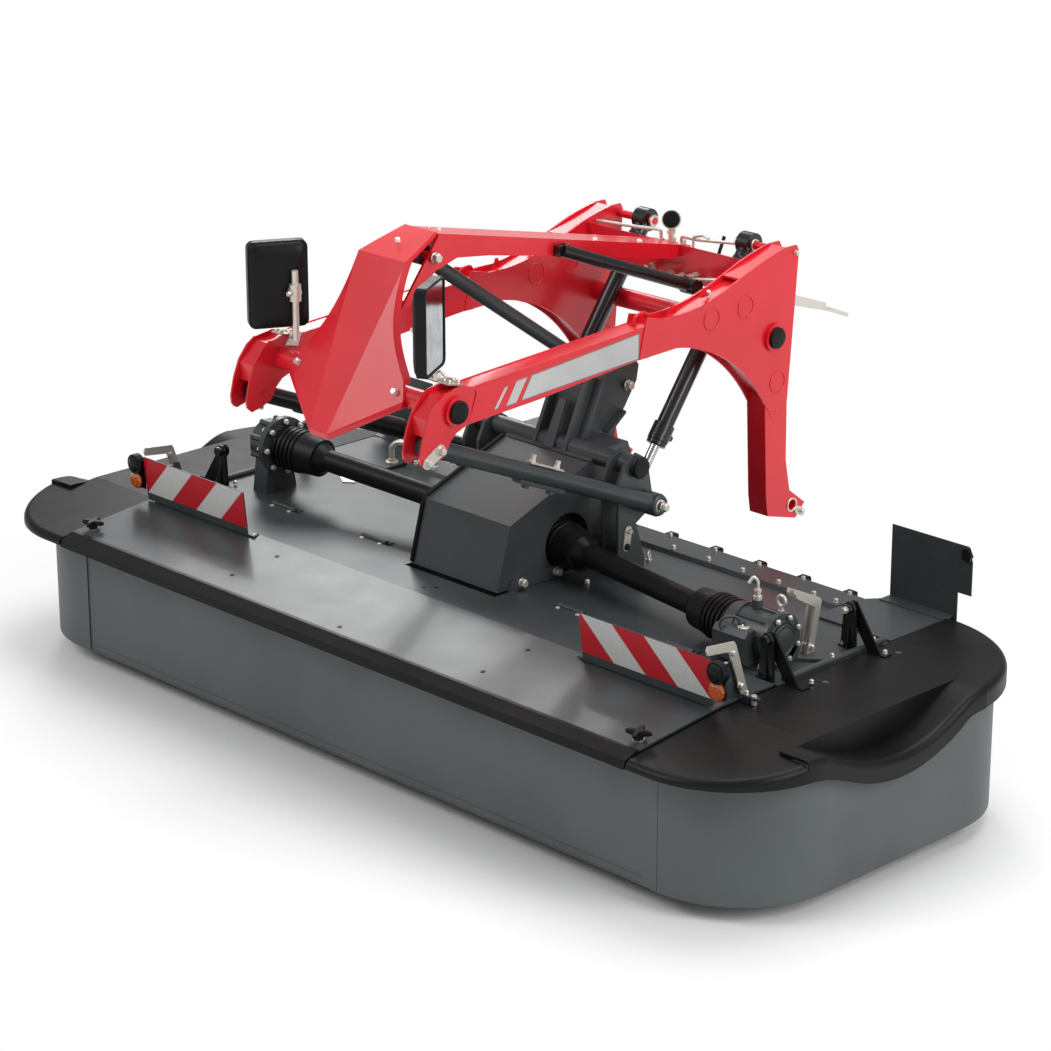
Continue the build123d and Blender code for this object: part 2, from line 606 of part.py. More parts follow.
# Lower links, upper link
with BuildPart() as lower_link_right:
    add(bar((LINK_X, *HOOK_PIN), (LINK_X, *LINK_BALL), 25))
    add(eye(LINK_X - 23, LINK_X + 23, HOOK_PIN, 32))
    add(eye(LINK_X - 20, LINK_X + 20, LINK_BALL, 33))
    for pin in (HOOK_PIN, LINK_BALL):
        add(eye(LINK_X - 40, LINK_X + 40, pin, 12.05), mode=Mode.SUBTRACT)
save(lower_link_right.part, "lower_link_right")

ROD_START = 0.62
with BuildPart() as lower_link_left:
    add(bar((-LINK_X, *HOOK_PIN), (-LINK_X, *between(HOOK_PIN, LINK_BALL, 0.2)), 24))
    add(bar((-LINK_X, *between(HOOK_PIN, LINK_BALL, 0.17)), (-LINK_X, *between(HOOK_PIN, LINK_BALL, ROD_START)), 29))
    add(eye(-LINK_X - 23, -LINK_X + 23, HOOK_PIN, 32))
    add(eye(-LINK_X - 40, -LINK_X + 40, HOOK_PIN, 12.05), mode=Mode.SUBTRACT)
save(lower_link_left.part, "lower_link_left")

with BuildPart() as lower_link_rod:
    add(bar((-LINK_X, *between(HOOK_PIN, LINK_BALL, ROD_START)), (-LINK_X, *LINK_BALL), 21))
    add(eye(-LINK_X - 20, -LINK_X + 20, LINK_BALL, 33))
    add(eye(-LINK_X - 40, -LINK_X + 40, LINK_BALL, 12.05), mode=Mode.SUBTRACT)
save(lower_link_rod.part, "lower_link_left_rod")

with BuildPart() as upper_link:
    add(bar((0, *MAST_TOP_PIN), (0, *MAST_PIN), 20))
    add(eye(-25, 25, MAST_TOP_PIN, 28))
    add(eye(-25, 25, MAST_PIN, 28))
    add(eye(-40, 40, MAST_TOP_PIN, 13.6), mode=Mode.SUBTRACT)
    add(eye(-40, 40, MAST_PIN, 12.05), mode=Mode.SUBTRACT)
save(upper_link.part, "upper_link")

# Lift arch: two side frames, two cross tubes and the centre beam
hook_outline = [
    (-672, 1166), (-722, 1178), (-780, 1170), (-809, 1152), (-838, 1117), (-857, 1072), (-870, 1020),
    (-868, 998), (-851, 983), (-811, 993), (-782, 1006), (-764, 1037), (-742, 1057), (-698, 1072),
]
beam_outline = [(-740, 1160), (-681, 1166), (-20, 1199), (-20, 1110), (-59, 1111), (-439, 1082), (-740, 1068)]


def knee_plate(x_from, x_to):
    """One cheek of the knee, from the beam over the arch to the leg."""
    with BuildPart() as knee:
        with BuildSketch(Plane.YZ.offset(x_from)):
            with BuildLine():
                Polyline((90, 1115), (-59, 1111), (-30, 1224), (40, 1207), (101, 1207))
                Spline((101, 1207), (191, 1218), (266, 1236), (366, 1270), (450, 1298), (540, 1317))
                Polyline((540, 1317), (582, 1317), (591, 1300), (581, 1169), (556, 864), (496, 821), (462, 868))
                ThreePointArc((462, 868), (324, 1019), (90, 1115))
            make_face()
        extrude(amount=x_to - x_from)
    return knee.part


FOOT_BORE = (590, 540)
with BuildPart() as side_frame:
    for x in (ARCH_INNER, ARCH_OUTER - ARCH_PLATE):
        add(plate_yz(hook_outline, x, x + ARCH_PLATE))
        add(knee_plate(x, x + ARCH_PLATE))
    add(plate_yz(beam_outline, ARCH_INNER + 2, ARCH_OUTER - 2))
    add(plate_yz([(-700, 1072), (-760, 1075), (-835, 1060), (-838, 1110), (-780, 1160), (-690, 1160)], ARCH_INNER, ARCH_OUTER))
    add(plate_yz([(-59, 1113), (90, 1125), (330, 1035), (462, 900), (540, 900), (572, 1290), (366, 1250), (101, 1190), (-30, 1190)], ARCH_INNER + 2, ARCH_OUTER - 2))
    add(plate_yz([(465, 990), (463, 860), (477, 584), (486, 529), (608, 495), (647, 535), (579, 587), (559, 683), (556, 900), (560, 990)], ARCH_INNER + 1, ARCH_OUTER - 1))
    add(eye(ARCH_INNER, ARCH_OUTER, FOOT_BORE, 14.25), mode=Mode.SUBTRACT)

with BuildPart() as cross_tubes:
    for tube in (FRONT_TUBE, REAR_TUBE):
        add(eye(-ARCH_OUTER - 14, ARCH_OUTER + 14, tube, TUBE_RADIUS))
        add(both_sides(eye(ARCH_OUTER, ARCH_OUTER + 10, tube, 40)))
save(cross_tubes.part, "arch_cross_tubes")

with BuildPart() as arch_side:
    add(side_frame.part)
    add(bar((ARCH_INNER - 2, *HOOK_PIN), (ARCH_OUTER + 4, *HOOK_PIN), 12))
    add(bar((CYLINDER_X - 35, *CYLINDER_EYE), (ARCH_INNER + 4, *CYLINDER_EYE), 12))
    for tube in (FRONT_TUBE, REAR_TUBE):
        add(eye(ARCH_INNER - 1, ARCH_OUTER + 1, tube, TUBE_RADIUS), mode=Mode.SUBTRACT)
save(arch_side.part, "arch_side_right")
save(other_side(arch_side.part), "arch_side_left")

with BuildPart() as arch_beam:
    beam_side = [
        (-545, 1400), (-498, 1485), (486, 1275), (505, 1250), (405, 1250), (-85, 1348),
        (-317, 1392), (-433, 1407), (-500, 1388), (-530, 1386),
    ]
    add(both_sides(plate_yz(beam_side, 50, 60)))
    add(plate_yz([(-498, 1485), (486, 1275), (486, 1267), (-498, 1477)], -60, 60))
    add(eye(-68, 68, MAST_TOP_PIN, 12))
    add(plate_yz([(440, 1180), (440, 1285), (452, 1282), (452, 1180)], -ARCH_INNER, ARCH_INNER))
    neck = [(-470, 1420), (-507, 1470), (-693, 1231), (-782, 1116), (-760, 1085), (-700, 1110), (-640, 1280)]
    add(both_sides(plate_yz(neck, 52, 60)))
    add(eye(-62, 62, FRONT_TUBE, TUBE_RADIUS), mode=Mode.SUBTRACT)
save(arch_beam.part, "arch_beam")

HOOD_TOP = (95, -650, 1440)
HOOD_CORNER = (223, -785, 1116)
HOOD_NOSE = (36, -888, 1008)
HOOD_SHEET = 9
HOOD_FLANGE = 26


def hood_form(back):
    """The filled form of the hood, moved back by a distance: a front face and two side faces."""
    front = [HOOD_TOP, HOOD_CORNER, HOOD_NOSE, (224, -790, 1098), (36, -880, 990), (60, -512, 1492)]
    rear = [(70, -480, 1440), (223, -640, 1116), (224, -640, 1098), (36, -640, 990)]
    points = [(x, y + back, z) for x, y, z in front + rear]
    with BuildPart() as form:
        ConvexPolyhedron(points + [(-x, y, z) for x, y, z in points])
    return form.part


def hood_outline(inset):
    """The hood seen from the front, with its hollowed flanks, drawn in by a distance."""
    flank = [(92, 1427), (112, 1310), (131, 1265), (177, 1197)]
    with BuildPart() as outline:
        with BuildSketch(Plane.XZ.offset(450)):
            with BuildLine():
                Polyline((62 - inset, 1500), (92 - inset, 1440), (92 - inset, 1427))
                Spline((92 - inset, 1427), *[(x - inset, z) for x, z in flank[1:]], (222 - inset, 1145))
                Polyline((222 - inset, 1145), (226 - inset, 980), (-226 + inset, 980), (-222 + inset, 1145))
                Spline((-222 + inset, 1145), *[(inset - x, z) for x, z in reversed(flank[1:])], (-92 + inset, 1427))
                Polyline((-92 + inset, 1427), (-92 + inset, 1440), (-62 + inset, 1500), (62 - inset, 1500))
            make_face()
        extrude(amount=500)
    return outline.part


with BuildPart() as nose_hood:
    add(hood_form(0))
    creases = nose_hood.edges().filter_by(lambda e: e.length > 400 and abs(e.center().Y + 769) < 20)
    fillet(creases, radius=22)
    add(hood_form(HOOD_SHEET), mode=Mode.SUBTRACT)
    add(hood_outline(0), mode=Mode.INTERSECT)
    with BuildPart(mode=Mode.PRIVATE) as flange:
        add(hood_form(HOOD_SHEET - 1))
        add(hood_form(HOOD_FLANGE), mode=Mode.SUBTRACT)
        add(hood_outline(0), mode=Mode.INTERSECT)
        add(hood_outline(6), mode=Mode.SUBTRACT)
    add(flange.part)
    for piece in (arch_beam.part, cross_tubes.part):
        add(piece, mode=Mode.SUBTRACT)
save(nose_hood.part, "nose_hood")

# Mirrors on bent stalks
MIRROR_FACING = Vector(0.875, 0.485, 0)
MIRROR_ACROSS = Vector(-0.485, 0.875, 0)
STALK = (245, -744)
MIRROR_OFFSET = 30
with BuildPart() as mirror_shell:
    middle = Vector(*STALK, 1328) + MIRROR_FACING * MIRROR_OFFSET - MIRROR_ACROSS * 40
    with BuildSketch(Plane(origin=middle, x_dir=MIRROR_ACROSS, z_dir=MIRROR_FACING)):
        RectangleRounded(165, 240, 20)
    extrude(amount=24)
save(both_sides(mirror_shell.part), "mirror_shells")

with BuildPart() as mirror_stalk:
    add(plate_yz([(-735, 1150), (-690, 1140), (-675, 1175), (-705, 1185)], 303, 309.9))
    add(bar((306, -705, 1170), (STALK[0] + 1, STALK[1], 1187), 8))
    add(bar((*STALK, 1178), (*STALK, 1372), 9))
    hub = Vector(*STALK, 1311)
    add(bar(tuple(hub), tuple(hub + MIRROR_FACING * (MIRROR_OFFSET - 0.1)), 18))
    add(bar((*STALK, 1288), (*STALK, 1334), 16))
save(both_sides(mirror_stalk.part), "mirror_stalks")

# Relief cylinders
BARREL_SHARE = 0.66
with BuildPart() as cylinder_barrel:
    add(bar((CYLINDER_X, *CYLINDER_EYE), (CYLINDER_X, *between(CYLINDER_EYE, CYLINDER_FOOT, BARREL_SHARE)), 25))
    add(eye(CYLINDER_X - 22, CYLINDER_X + 22, CYLINDER_EYE, 34))
    add(eye(CYLINDER_X - 40, CYLINDER_X + 40, CYLINDER_EYE, 12.05), mode=Mode.SUBTRACT)
    add(
        bar((CYLINDER_X, *between(CYLINDER_EYE, CYLINDER_FOOT, 0.3)), (CYLINDER_X, *CYLINDER_FOOT), 14.05),
        mode=Mode.SUBTRACT)
save(cylinder_barrel.part, "cylinder_barrel_right")
save(other_side(cylinder_barrel.part), "cylinder_barrel_left")

with BuildPart() as cylinder_rod:
    add(bar((CYLINDER_X, *between(CYLINDER_EYE, CYLINDER_FOOT, 0.42)), (CYLINDER_X, *CYLINDER_FOOT), 14))
    add(eye(CYLINDER_X - 20, CYLINDER_X + 20, CYLINDER_FOOT, 28))
    add(eye(CYLINDER_X - 40, CYLINDER_X + 40, CYLINDER_FOOT, 19), mode=Mode.SUBTRACT)
save(cylinder_rod.part, "cylinder_rod_right")
save(other_side(cylinder_rod.part), "cylinder_rod_left")

with BuildPart() as valve_block:
    add(block((-60, 60), (452, 520), (1180, 1250)))
save(valve_block.part, "valve_block")

HOLDER_TIP = -RIM_FRONT
with BuildPart() as hose_holder:
    add(plate_yz([(530, 1190), (530, 1150), (800, 1068), (800, 1092)], 303, 309.9))
    add(plate_yz([(796, 1070), (900, 1030), (HOLDER_TIP, 1040), (800, 1082)], 303, 309.9))
save(hose_holder.part, "hose_holder")

with BuildPart() as guide_tube:
    add(block((60.1, 84), (-70, -30), (1345, 1375)))
    add(bar((79, -55, 1362), (170, 371, 1197), 18))
    add(eye(145, 195, (371, 1197), 24))
save(guide_tube.part, "guide_tube")
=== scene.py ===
"""Looks of the front-mounted disc mower conditioner: finishes, small fittings, light and camera."""

import json
from math import copysign, cos, pi, radians, sin

import bmesh
import bpy
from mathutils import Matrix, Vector


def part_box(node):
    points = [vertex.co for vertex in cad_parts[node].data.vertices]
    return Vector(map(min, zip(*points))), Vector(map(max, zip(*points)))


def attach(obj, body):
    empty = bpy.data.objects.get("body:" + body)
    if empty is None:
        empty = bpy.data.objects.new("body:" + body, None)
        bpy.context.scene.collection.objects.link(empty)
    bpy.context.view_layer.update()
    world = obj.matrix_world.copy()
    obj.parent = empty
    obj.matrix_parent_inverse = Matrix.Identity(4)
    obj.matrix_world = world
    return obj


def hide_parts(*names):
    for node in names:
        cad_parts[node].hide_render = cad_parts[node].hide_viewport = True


MM = 0.001
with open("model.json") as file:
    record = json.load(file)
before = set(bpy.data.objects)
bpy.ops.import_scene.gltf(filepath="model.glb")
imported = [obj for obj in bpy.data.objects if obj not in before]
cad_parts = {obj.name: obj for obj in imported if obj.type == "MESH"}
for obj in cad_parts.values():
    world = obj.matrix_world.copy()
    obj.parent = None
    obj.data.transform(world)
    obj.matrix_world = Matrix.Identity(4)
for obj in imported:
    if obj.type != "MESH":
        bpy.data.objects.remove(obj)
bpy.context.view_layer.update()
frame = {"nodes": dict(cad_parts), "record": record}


# Colour and node helpers
def linear(hex_text):
    """sRGB hex to the linear RGBA that shaders use."""
    parts = [int(hex_text[i:i + 2], 16) / 255 for i in (1, 3, 5)]
    return [c / 12.92 if c <= 0.04045 else ((c + 0.055) / 1.055) ** 2.4 for c in parts] + [1.0]


def add_node(tree, kind, settings=None, inputs=None):
    """Adds one node with its settings, and sets or links its inputs."""
    made = tree.nodes.new(kind)
    for name, value in (settings or {}).items():
        target = made
        *path, last = name.split(".")
        for step in path:
            target = target[int(step)] if step.isdigit() else getattr(target, step)
        setattr(target, last, value)
    for name, value in (inputs or {}).items():
        if isinstance(value, bpy.types.NodeSocket):
            tree.links.new(value, made.inputs[name])
        else:
            made.inputs[name].default_value = value
    return made


def start_material(name, **shader):
    """A new material with its main shader, whose constants sit on the sockets."""
    material = bpy.data.materials.new(name)
    material.use_nodes = True
    tree = material.node_tree
    main = tree.nodes["Principled BSDF"]
    for socket, value in shader.items():
        main.inputs[socket.replace("_", " ")].default_value = value
    where = add_node(tree, "ShaderNodeTexCoord").outputs["Object"]
    return material, tree, main, where


def mottled_surface(tree, main, where, dark, pale, cloud_mm, rough, spread):
    """Colour that drifts between two tones, with gloss that drifts on a smaller scale."""
    cloud = add_node(tree, "ShaderNodeTexNoise", None, {
        "Vector": where, "Scale": 1 / (cloud_mm * MM), "Detail": 3.0})
    tone = add_node(tree, "ShaderNodeValToRGB", {
        "color_ramp.elements.0.position": 0.35, "color_ramp.elements.0.color": linear(dark),
        "color_ramp.elements.1.position": 0.65, "color_ramp.elements.1.color": linear(pale),
    }, {"Fac": cloud.outputs["Fac"]})
    tree.links.new(tone.outputs["Color"], main.inputs["Base Color"])
    smear = add_node(tree, "ShaderNodeTexNoise", None, {
        "Vector": where, "Scale": 3 / (cloud_mm * MM), "Detail": 4.0})
    gloss = add_node(tree, "ShaderNodeMapRange", None, {
        "Value": smear.outputs["Fac"], "To Min": rough - spread, "To Max": rough + spread})
    tree.links.new(gloss.outputs["Result"], main.inputs["Roughness"])
    return tone


def raised(tree, main, height, depth_mm, strength=1.0):
    """Gives the shader a relief of a real depth."""
    bump = add_node(tree, "ShaderNodeBump", None, {
        "Height": height, "Distance": depth_mm * MM, "Strength": strength})
    tree.links.new(bump.outputs["Normal"], main.inputs["Normal"])


def enamel(name, dark, pale, rough, coat=0.0, peel_mm=9, peel_depth=0.05, grime=0.0):
    """Sprayed enamel: faint cloudiness, orange peel and, where grime is given, patches of field dust."""
    material, tree, main, where = start_material(name, IOR=1.5, Coat_Weight=coat, Coat_Roughness=0.08)
    tone = mottled_surface(tree, main, where, dark, pale, 260, rough, 0.05)
    peel = add_node(tree, "ShaderNodeTexNoise", None, {
        "Vector": where, "Scale": 1 / (peel_mm * MM), "Detail": 1.0})
    raised(tree, main, peel.outputs["Fac"], peel_depth)
    if grime:
        specks = add_node(tree, "ShaderNodeTexNoise", None, {
            "Vector": where, "Scale": 1 / (35 * MM), "Detail": 6.0, "Roughness": 0.7})
        patch = add_node(tree, "ShaderNodeMapRange", None, {
            "Value": specks.outputs["Fac"], "From Min": 0.5, "From Max": 0.8, "To Min": 0.0, "To Max": grime})
        dusty = add_node(tree, "ShaderNodeMix", {"data_type": "RGBA"}, {
            0: patch.outputs["Result"], 6: tone.outputs["Color"], 7: linear("#6E6A62")})
        tree.links.new(dusty.outputs[2], main.inputs["Base Color"])
    return material


def metal(name, dark, pale, rough, grain_mm=14, depth=0.03, metallic=1.0):
    """Bare or plated metal: mottled tone and a fine grain."""
    material, tree, main, where = start_material(name, Metallic=metallic)
    mottled_surface(tree, main, where, dark, pale, grain_mm, rough, rough * 0.25)
    fine = add_node(tree, "ShaderNodeTexNoise", None, {"Vector": where, "Scale": 1 / (3 * MM), "Detail": 2.0})
    raised(tree, main, fine.outputs["Fac"], depth)
    return material


def moulded(name, dark, pale, rough, grain_mm=2.5, depth=0.12):
    """Moulded plastic or rubber: a leathery grain, drawn coarser than in life so that it shows."""
    material, tree, main, where = start_material(name, IOR=1.48, Specular_IOR_Level=0.22)
    mottled_surface(tree, main, where, dark, pale, 180, rough, 0.06)
    grain = add_node(tree, "ShaderNodeTexVoronoi", None, {"Vector": where, "Scale": 1 / (grain_mm * MM)})
    raised(tree, main, grain.outputs["Distance"], depth, 0.5)
    return material


# Gloss red machine enamel over welded steel: deep colour, wet highlights
red_enamel = enamel("gloss_red_enamel", "#D21020", "#DE182A", 0.32, coat=0.22, grime=0.03)
# Dark slate enamel on folded sheet: satin, so that it takes a soft sheen from above
slate_enamel = enamel("satin_slate_enamel", "#33393B", "#3B4143", 0.38, coat=0.08, grime=0.08)
# Black enamel on tubes and cylinder barrels
black_enamel = enamel("gloss_black_enamel", "#0E0E0F", "#161617", 0.28, coat=0.2)
# Silver decal film on the arch beams
silver_film = enamel("silver_decal_film", "#B2B2B2", "#C6C6C5", 0.35, peel_mm=6, peel_depth=0.02)
# Grey keyline film round the silver decals
grey_film = enamel("grey_keyline_film", "#77706E", "#857D7A", 0.4, peel_mm=6, peel_depth=0.02)
# Black polyethylene covers and guards, injection moulded
black_polyethylene = moulded("black_polyethylene", "#0D0D0E", "#131313", 0.42)
# Black rubber of the rear strip, its straps and the seals: duller than the covers
black_rubber = moulded("black_rubber", "#090909", "#0F0F10", 0.5)
# Zinc plate on handles, clamps and bolts: pale with a faint warm cast
zinc_plate = metal("zinc_plated_steel", "#D4CFC5", "#DDD9CF", 0.36, grain_mm=60, depth=0.006, metallic=0.7)
# Bare steel of discs and skids, worn by grass and soil
worn_steel = metal("worn_bare_steel", "#4A4845", "#77746F", 0.42, grain_mm=30)
# Hard chrome on the cylinder rods
hard_chrome = metal("hard_chrome", "#B9B9BC", "#C8C8CB", 0.12, grain_mm=60, depth=0.004)


def coated_cloth():
    """PVC-coated curtain cloth: a fine plain weave showing through a smooth skin."""
    material, tree, main, where = start_material("coated_curtain_cloth", IOR=1.45, Sheen_Weight=0.08)
    mottled_surface(tree, main, where, "#4C5152", "#545A5B", 400, 0.56, 0.06)
    weave = []
    for direction in ("X", "Z"):
        wave = add_node(tree, "ShaderNodeTexWave", {"bands_direction": direction}, {
            "Vector": where, "Scale": 1 / (4 * MM) / (2 * pi), "Distortion": 0.0})
        weave.append(wave.outputs["Fac"])
    both = add_node(tree, "ShaderNodeMath", {"operation": "ADD"}, {0: weave[0], 1: weave[1]})
    raised(tree, main, both.outputs["Value"], 0.05, 0.4)
    return material


curtain_cloth = coated_cloth()


def lens(name, dark, pale):
    """Moulded acrylic: small cells behind a clear, glossy face."""
    material, tree, main, where = start_material(name, Roughness=0.12, IOR=1.49, Coat_Weight=0.6)
    cells = add_node(tree, "ShaderNodeTexVoronoi", None, {"Vector": where, "Scale": 1 / (5 * MM)})
    tone = add_node(tree, "ShaderNodeValToRGB", {
        "color_ramp.elements.0.position": 0.1, "color_ramp.elements.0.color": linear(dark),
        "color_ramp.elements.1.position": 0.6, "color_ramp.elements.1.color": linear(pale),
    }, {"Fac": cells.outputs["Distance"]})
    tree.links.new(tone.outputs["Color"], main.inputs["Base Color"])
    raised(tree, main, cells.outputs["Distance"], 0.4, 0.6)
    return material


# Orange reflectors, moulded in acrylic with small prisms behind the face
amber_lens = lens("amber_acrylic_lens", "#8A3008", "#C85A18")
# Silvered glass of the mirrors, with a faint film of dust
mirror_glass, tree, main, where = start_material("silvered_mirror_glass", Metallic=1.0)
mottled_surface(tree, main, where, "#9A9EA2", "#B4B8BC", 40, 0.07, 0.025)

# Warning boards: width of a band along X, and the sum of X and Z where a white one starts
STRIPE = 113
STRIPE_START = 1287


def striped_sheeting():
    """White and red bands that rise at 45 degrees towards the middle of the machine."""
    material, tree, main, where = start_material("red_white_reflective_sheeting", IOR=1.5, Roughness=0.38)
    axes = add_node(tree, "ShaderNodeSeparateXYZ", None, {"Vector": where})
    outward = add_node(tree, "ShaderNodeMath", {"operation": "ABSOLUTE"}, {0: axes.outputs["X"]})
    along = add_node(tree, "ShaderNodeMath", {"operation": "ADD"}, {
        0: outward.outputs[0], 1: axes.outputs["Z"]})
    shifted = add_node(tree, "ShaderNodeMath", {"operation": "SUBTRACT"}, {
        0: along.outputs[0], 1: STRIPE_START * MM})
    turns = add_node(tree, "ShaderNodeMath", {"operation": "DIVIDE"}, {
        0: shifted.outputs[0], 1: 2 * STRIPE * MM})
    part = add_node(tree, "ShaderNodeMath", {"operation": "FRACT"}, {0: turns.outputs[0]})
    white_band = add_node(tree, "ShaderNodeMath", {"operation": "LESS_THAN"}, {0: part.outputs[0], 1: 0.5})
    cells = add_node(tree, "ShaderNodeTexVoronoi", None, {"Vector": where, "Scale": 1 / (4 * MM)})
    tones = []
    for dark, pale in (("#B00A1C", "#C51226"), ("#BDBDBA", "#D2D2CF")):
        tone = add_node(tree, "ShaderNodeValToRGB", {
            "color_ramp.elements.0.color": linear(dark), "color_ramp.elements.1.color": linear(pale),
        }, {"Fac": cells.outputs["Distance"]})
        tones.append(tone.outputs["Color"])
    bands = add_node(tree, "ShaderNodeMix", {"data_type": "RGBA"}, {
        0: white_band.outputs[0], 6: tones[0], 7: tones[1]})
    tree.links.new(bands.outputs[2], main.inputs["Base Color"])
    raised(tree, main, cells.outputs["Distance"], 0.05, 0.5)
    return material


warning_sheeting = striped_sheeting()

finishes = {
    "slate_paint": slate_enamel, "red_paint": red_enamel, "slate_curtain": curtain_cloth,
    "black_plastic": black_polyethylene, "black_paint": black_enamel, "black_rubber": black_rubber,
    "zinc_steel": zinc_plate, "bare_steel": worn_steel, "chrome_rod": hard_chrome,
    "warning_board": slate_enamel, "lamp": black_polyethylene,
}
slot_of = {entry["node"]: entry["material_slot"] for entry in frame["record"]["subparts"]}
for name, piece in frame["nodes"].items():
    piece.data.materials.clear()
    piece.data.materials.append(finishes[slot_of[name]])


# Mesh helpers, in millimetres of the part's frame
def lathe(mesh, start, axis, stations, sides=28):
    """A turned form, or a prism where it has few sides: stations are (distance along the axis, radius)."""
    axis = Vector(axis).normalized()
    side = axis.orthogonal().normalized()
    other = axis.cross(side)
    rings = []
    for along, radius in stations:
        centre = Vector(start) + axis * along
        angles = [2 * pi * (i + 0.5) / sides for i in range(sides)]
        rings.append([
            mesh.verts.new(centre + (side * cos(a) + other * sin(a)) * radius) for a in angles])
    for low, high in zip(rings, rings[1:]):
        for i in range(sides):
            mesh.faces.new((low[i], low[(i + 1) % sides], high[(i + 1) % sides], high[i]))
    mesh.faces.new(rings[0][::-1])
    mesh.faces.new(rings[-1])


def hoop(mesh, centre, axis, radius, section, sides=36):
    """A round wire bent to a hoop."""
    axis = Vector(axis).normalized()
    side = axis.orthogonal().normalized()
    other = axis.cross(side)
    points = []
    for i in range(sides):
        angle = 2 * pi * i / sides
        points.append(Vector(centre) + (side * cos(angle) + other * sin(angle)) * radius)
    wire(mesh, points, section, closed=True)


def wire(mesh, points, radius, closed=False, sides=10):
    """A round bar along points that already lie close together."""
    points = [Vector(p) for p in points]
    count = len(points)
    normal = None
    rings = []
    for i, point in enumerate(points):
        before = points[i - 1] if i or closed else point
        after = points[(i + 1) % count] if i < count - 1 or closed else point
        heading = (after - before).normalized()
        normal = heading.orthogonal() if normal is None else normal - heading * normal.dot(heading)
        normal.normalize()
        other = heading.cross(normal)
        angles = [2 * pi * k / sides for k in range(sides)]
        rings.append([
            mesh.verts.new(point + (normal * cos(a) + other * sin(a)) * radius) for a in angles])
    pairs = list(zip(rings, rings[1:])) + ([(rings[-1], rings[0])] if closed else [])
    for low, high in pairs:
        for k in range(sides):
            mesh.faces.new((low[k], low[(k + 1) % sides], high[(k + 1) % sides], high[k]))
    if not closed:
        mesh.faces.new(rings[0][::-1])
        mesh.faces.new(rings[-1])


def bent(corners, radius, steps=6):
    """Points along a bar bent at each corner to a round of about a radius."""
    corners = [Vector(c) for c in corners]
    points = [corners[0]]
    for before, corner, after in zip(corners, corners[1:], corners[2:]):
        reach = min(radius, (before - corner).length * 0.45, (after - corner).length * 0.45)
        start = corner + (before - corner).normalized() * reach
        end = corner + (after - corner).normalized() * reach
        for i in range(steps + 1):
            t = i / steps
            points.append(start * (1 - t) ** 2 + corner * 2 * t * (1 - t) + end * t ** 2)
    return points + [corners[-1]]


def slab(mesh, outline, thickness, edge=0.0):
    """A flat plate: an outline of 3-D points, thickened along a vector, with its long edges broken."""
    face = mesh.faces.new([mesh.verts.new(Vector(p)) for p in outline])
    made = bmesh.ops.extrude_face_region(mesh, geom=[face])["geom"]
    top = [v for v in made if isinstance(v, bmesh.types.BMVert)]
    bmesh.ops.translate(mesh, vec=Vector(thickness), verts=top)
    if edge:
        rim = set(face.edges)
        rim |= {e for v in top for e in v.link_edges if all(w in top for w in e.verts)}
        bmesh.ops.bevel(mesh, geom=list(rim), offset=edge, segments=2, affect="EDGES")


def brick(mesh, low, high, edge=1.5):
    """A block between two corners with broken edges."""
    corners = [(low[0], low[1]), (high[0], low[1]), (high[0], high[1]), (low[0], high[1])]
    slab(mesh, [(x, y, low[2]) for x, y in corners], (0, 0, high[2] - low[2]), edge)


def stadium(first, second, radius, x, steps=10):
    """The outline of an oval link between two Y and Z places, at one X."""
    first, second = Vector(first), Vector(second)
    along = (second - first).normalized()
    across = Vector((-along.y, along.x))
    outline = []
    for centre, sign in ((second, 1), (first, -1)):
        for i in range(steps + 1):
            angle = pi * (i / steps - 0.5)
            spot = centre + (along * cos(angle) + across * sin(angle)) * radius * sign
            outline.append((x, spot.x, spot.y))
    return outline


# Bolt heads: the washer's thickness, and shares of the width across flats
WASHER = 2.6
WASHER_SHARE = 0.62
HEAD_SHARE = 0.62
CORNER_SHARE = 0.577


def hex_bolt(mesh, seat, out, across, washer=True):
    """A hexagon head of a width across its flats, with a washer under it, standing on a surface."""
    seat, out = Vector(seat), Vector(out).normalized()
    lift = 0.0
    if washer:
        wide = across * WASHER_SHARE
        lathe(mesh, seat, out, [(0, wide), (2.0, wide), (WASHER, across * 0.58)], 20)
        lift = WASHER
    height = across * HEAD_SHARE
    corner = across * CORNER_SHARE
    lathe(mesh, seat + out * lift, out, [(0, corner), (height * 0.8, corner), (height, across * 0.5)], 6)
    lathe(mesh, seat + out * (lift + height - 0.2), out, [(0, across * 0.4), (0.8, across * 0.36)], 16)


# Edges sharper than this stay sharp under smooth shading
CREASE = radians(38)


def piece_of(name, mesh, body, finish):
    """Makes a piece of a mesh, rides it on a body and gives it its finish."""
    bmesh.ops.recalc_face_normals(mesh, faces=mesh.faces)
    bmesh.ops.scale(mesh, vec=(MM, MM, MM), verts=mesh.verts)
    data = bpy.data.meshes.new(name)
    mesh.to_mesh(data)
    mesh.free()
    data.polygons.foreach_set("use_smooth", [True] * len(data.polygons))
    data.set_sharp_from_angle(angle=CREASE)
    data.materials.append(finish)
    made = bpy.data.objects.new(name, data)
    bpy.context.collection.objects.link(made)
    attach(made, body)
    return made


def at_x(x, outline):
    """Points at one X, from places in Y and Z."""
    return [(x, y, z) for y, z in outline]


def at_y(side, outline, y):
    """Points at one Y on one half of the machine, from places in X and Z."""
    return [(side * x, y, z) for x, z in outline]


def at_z(side, outline, z):
    """Points at one height on one half of the machine, from places in X and Y."""
    return [(side * x, y, z) for x, y in outline]


def on_circle(centre, radius, angle):
    """A place in Y and Z on a circle round another."""
    return centre[0] + radius * cos(angle), centre[1] + radius * sin(angle)


BOTH = (-1, 1)
HALVES = ((1, "right"), (-1, "left"))
UP = (0, 0, 1)

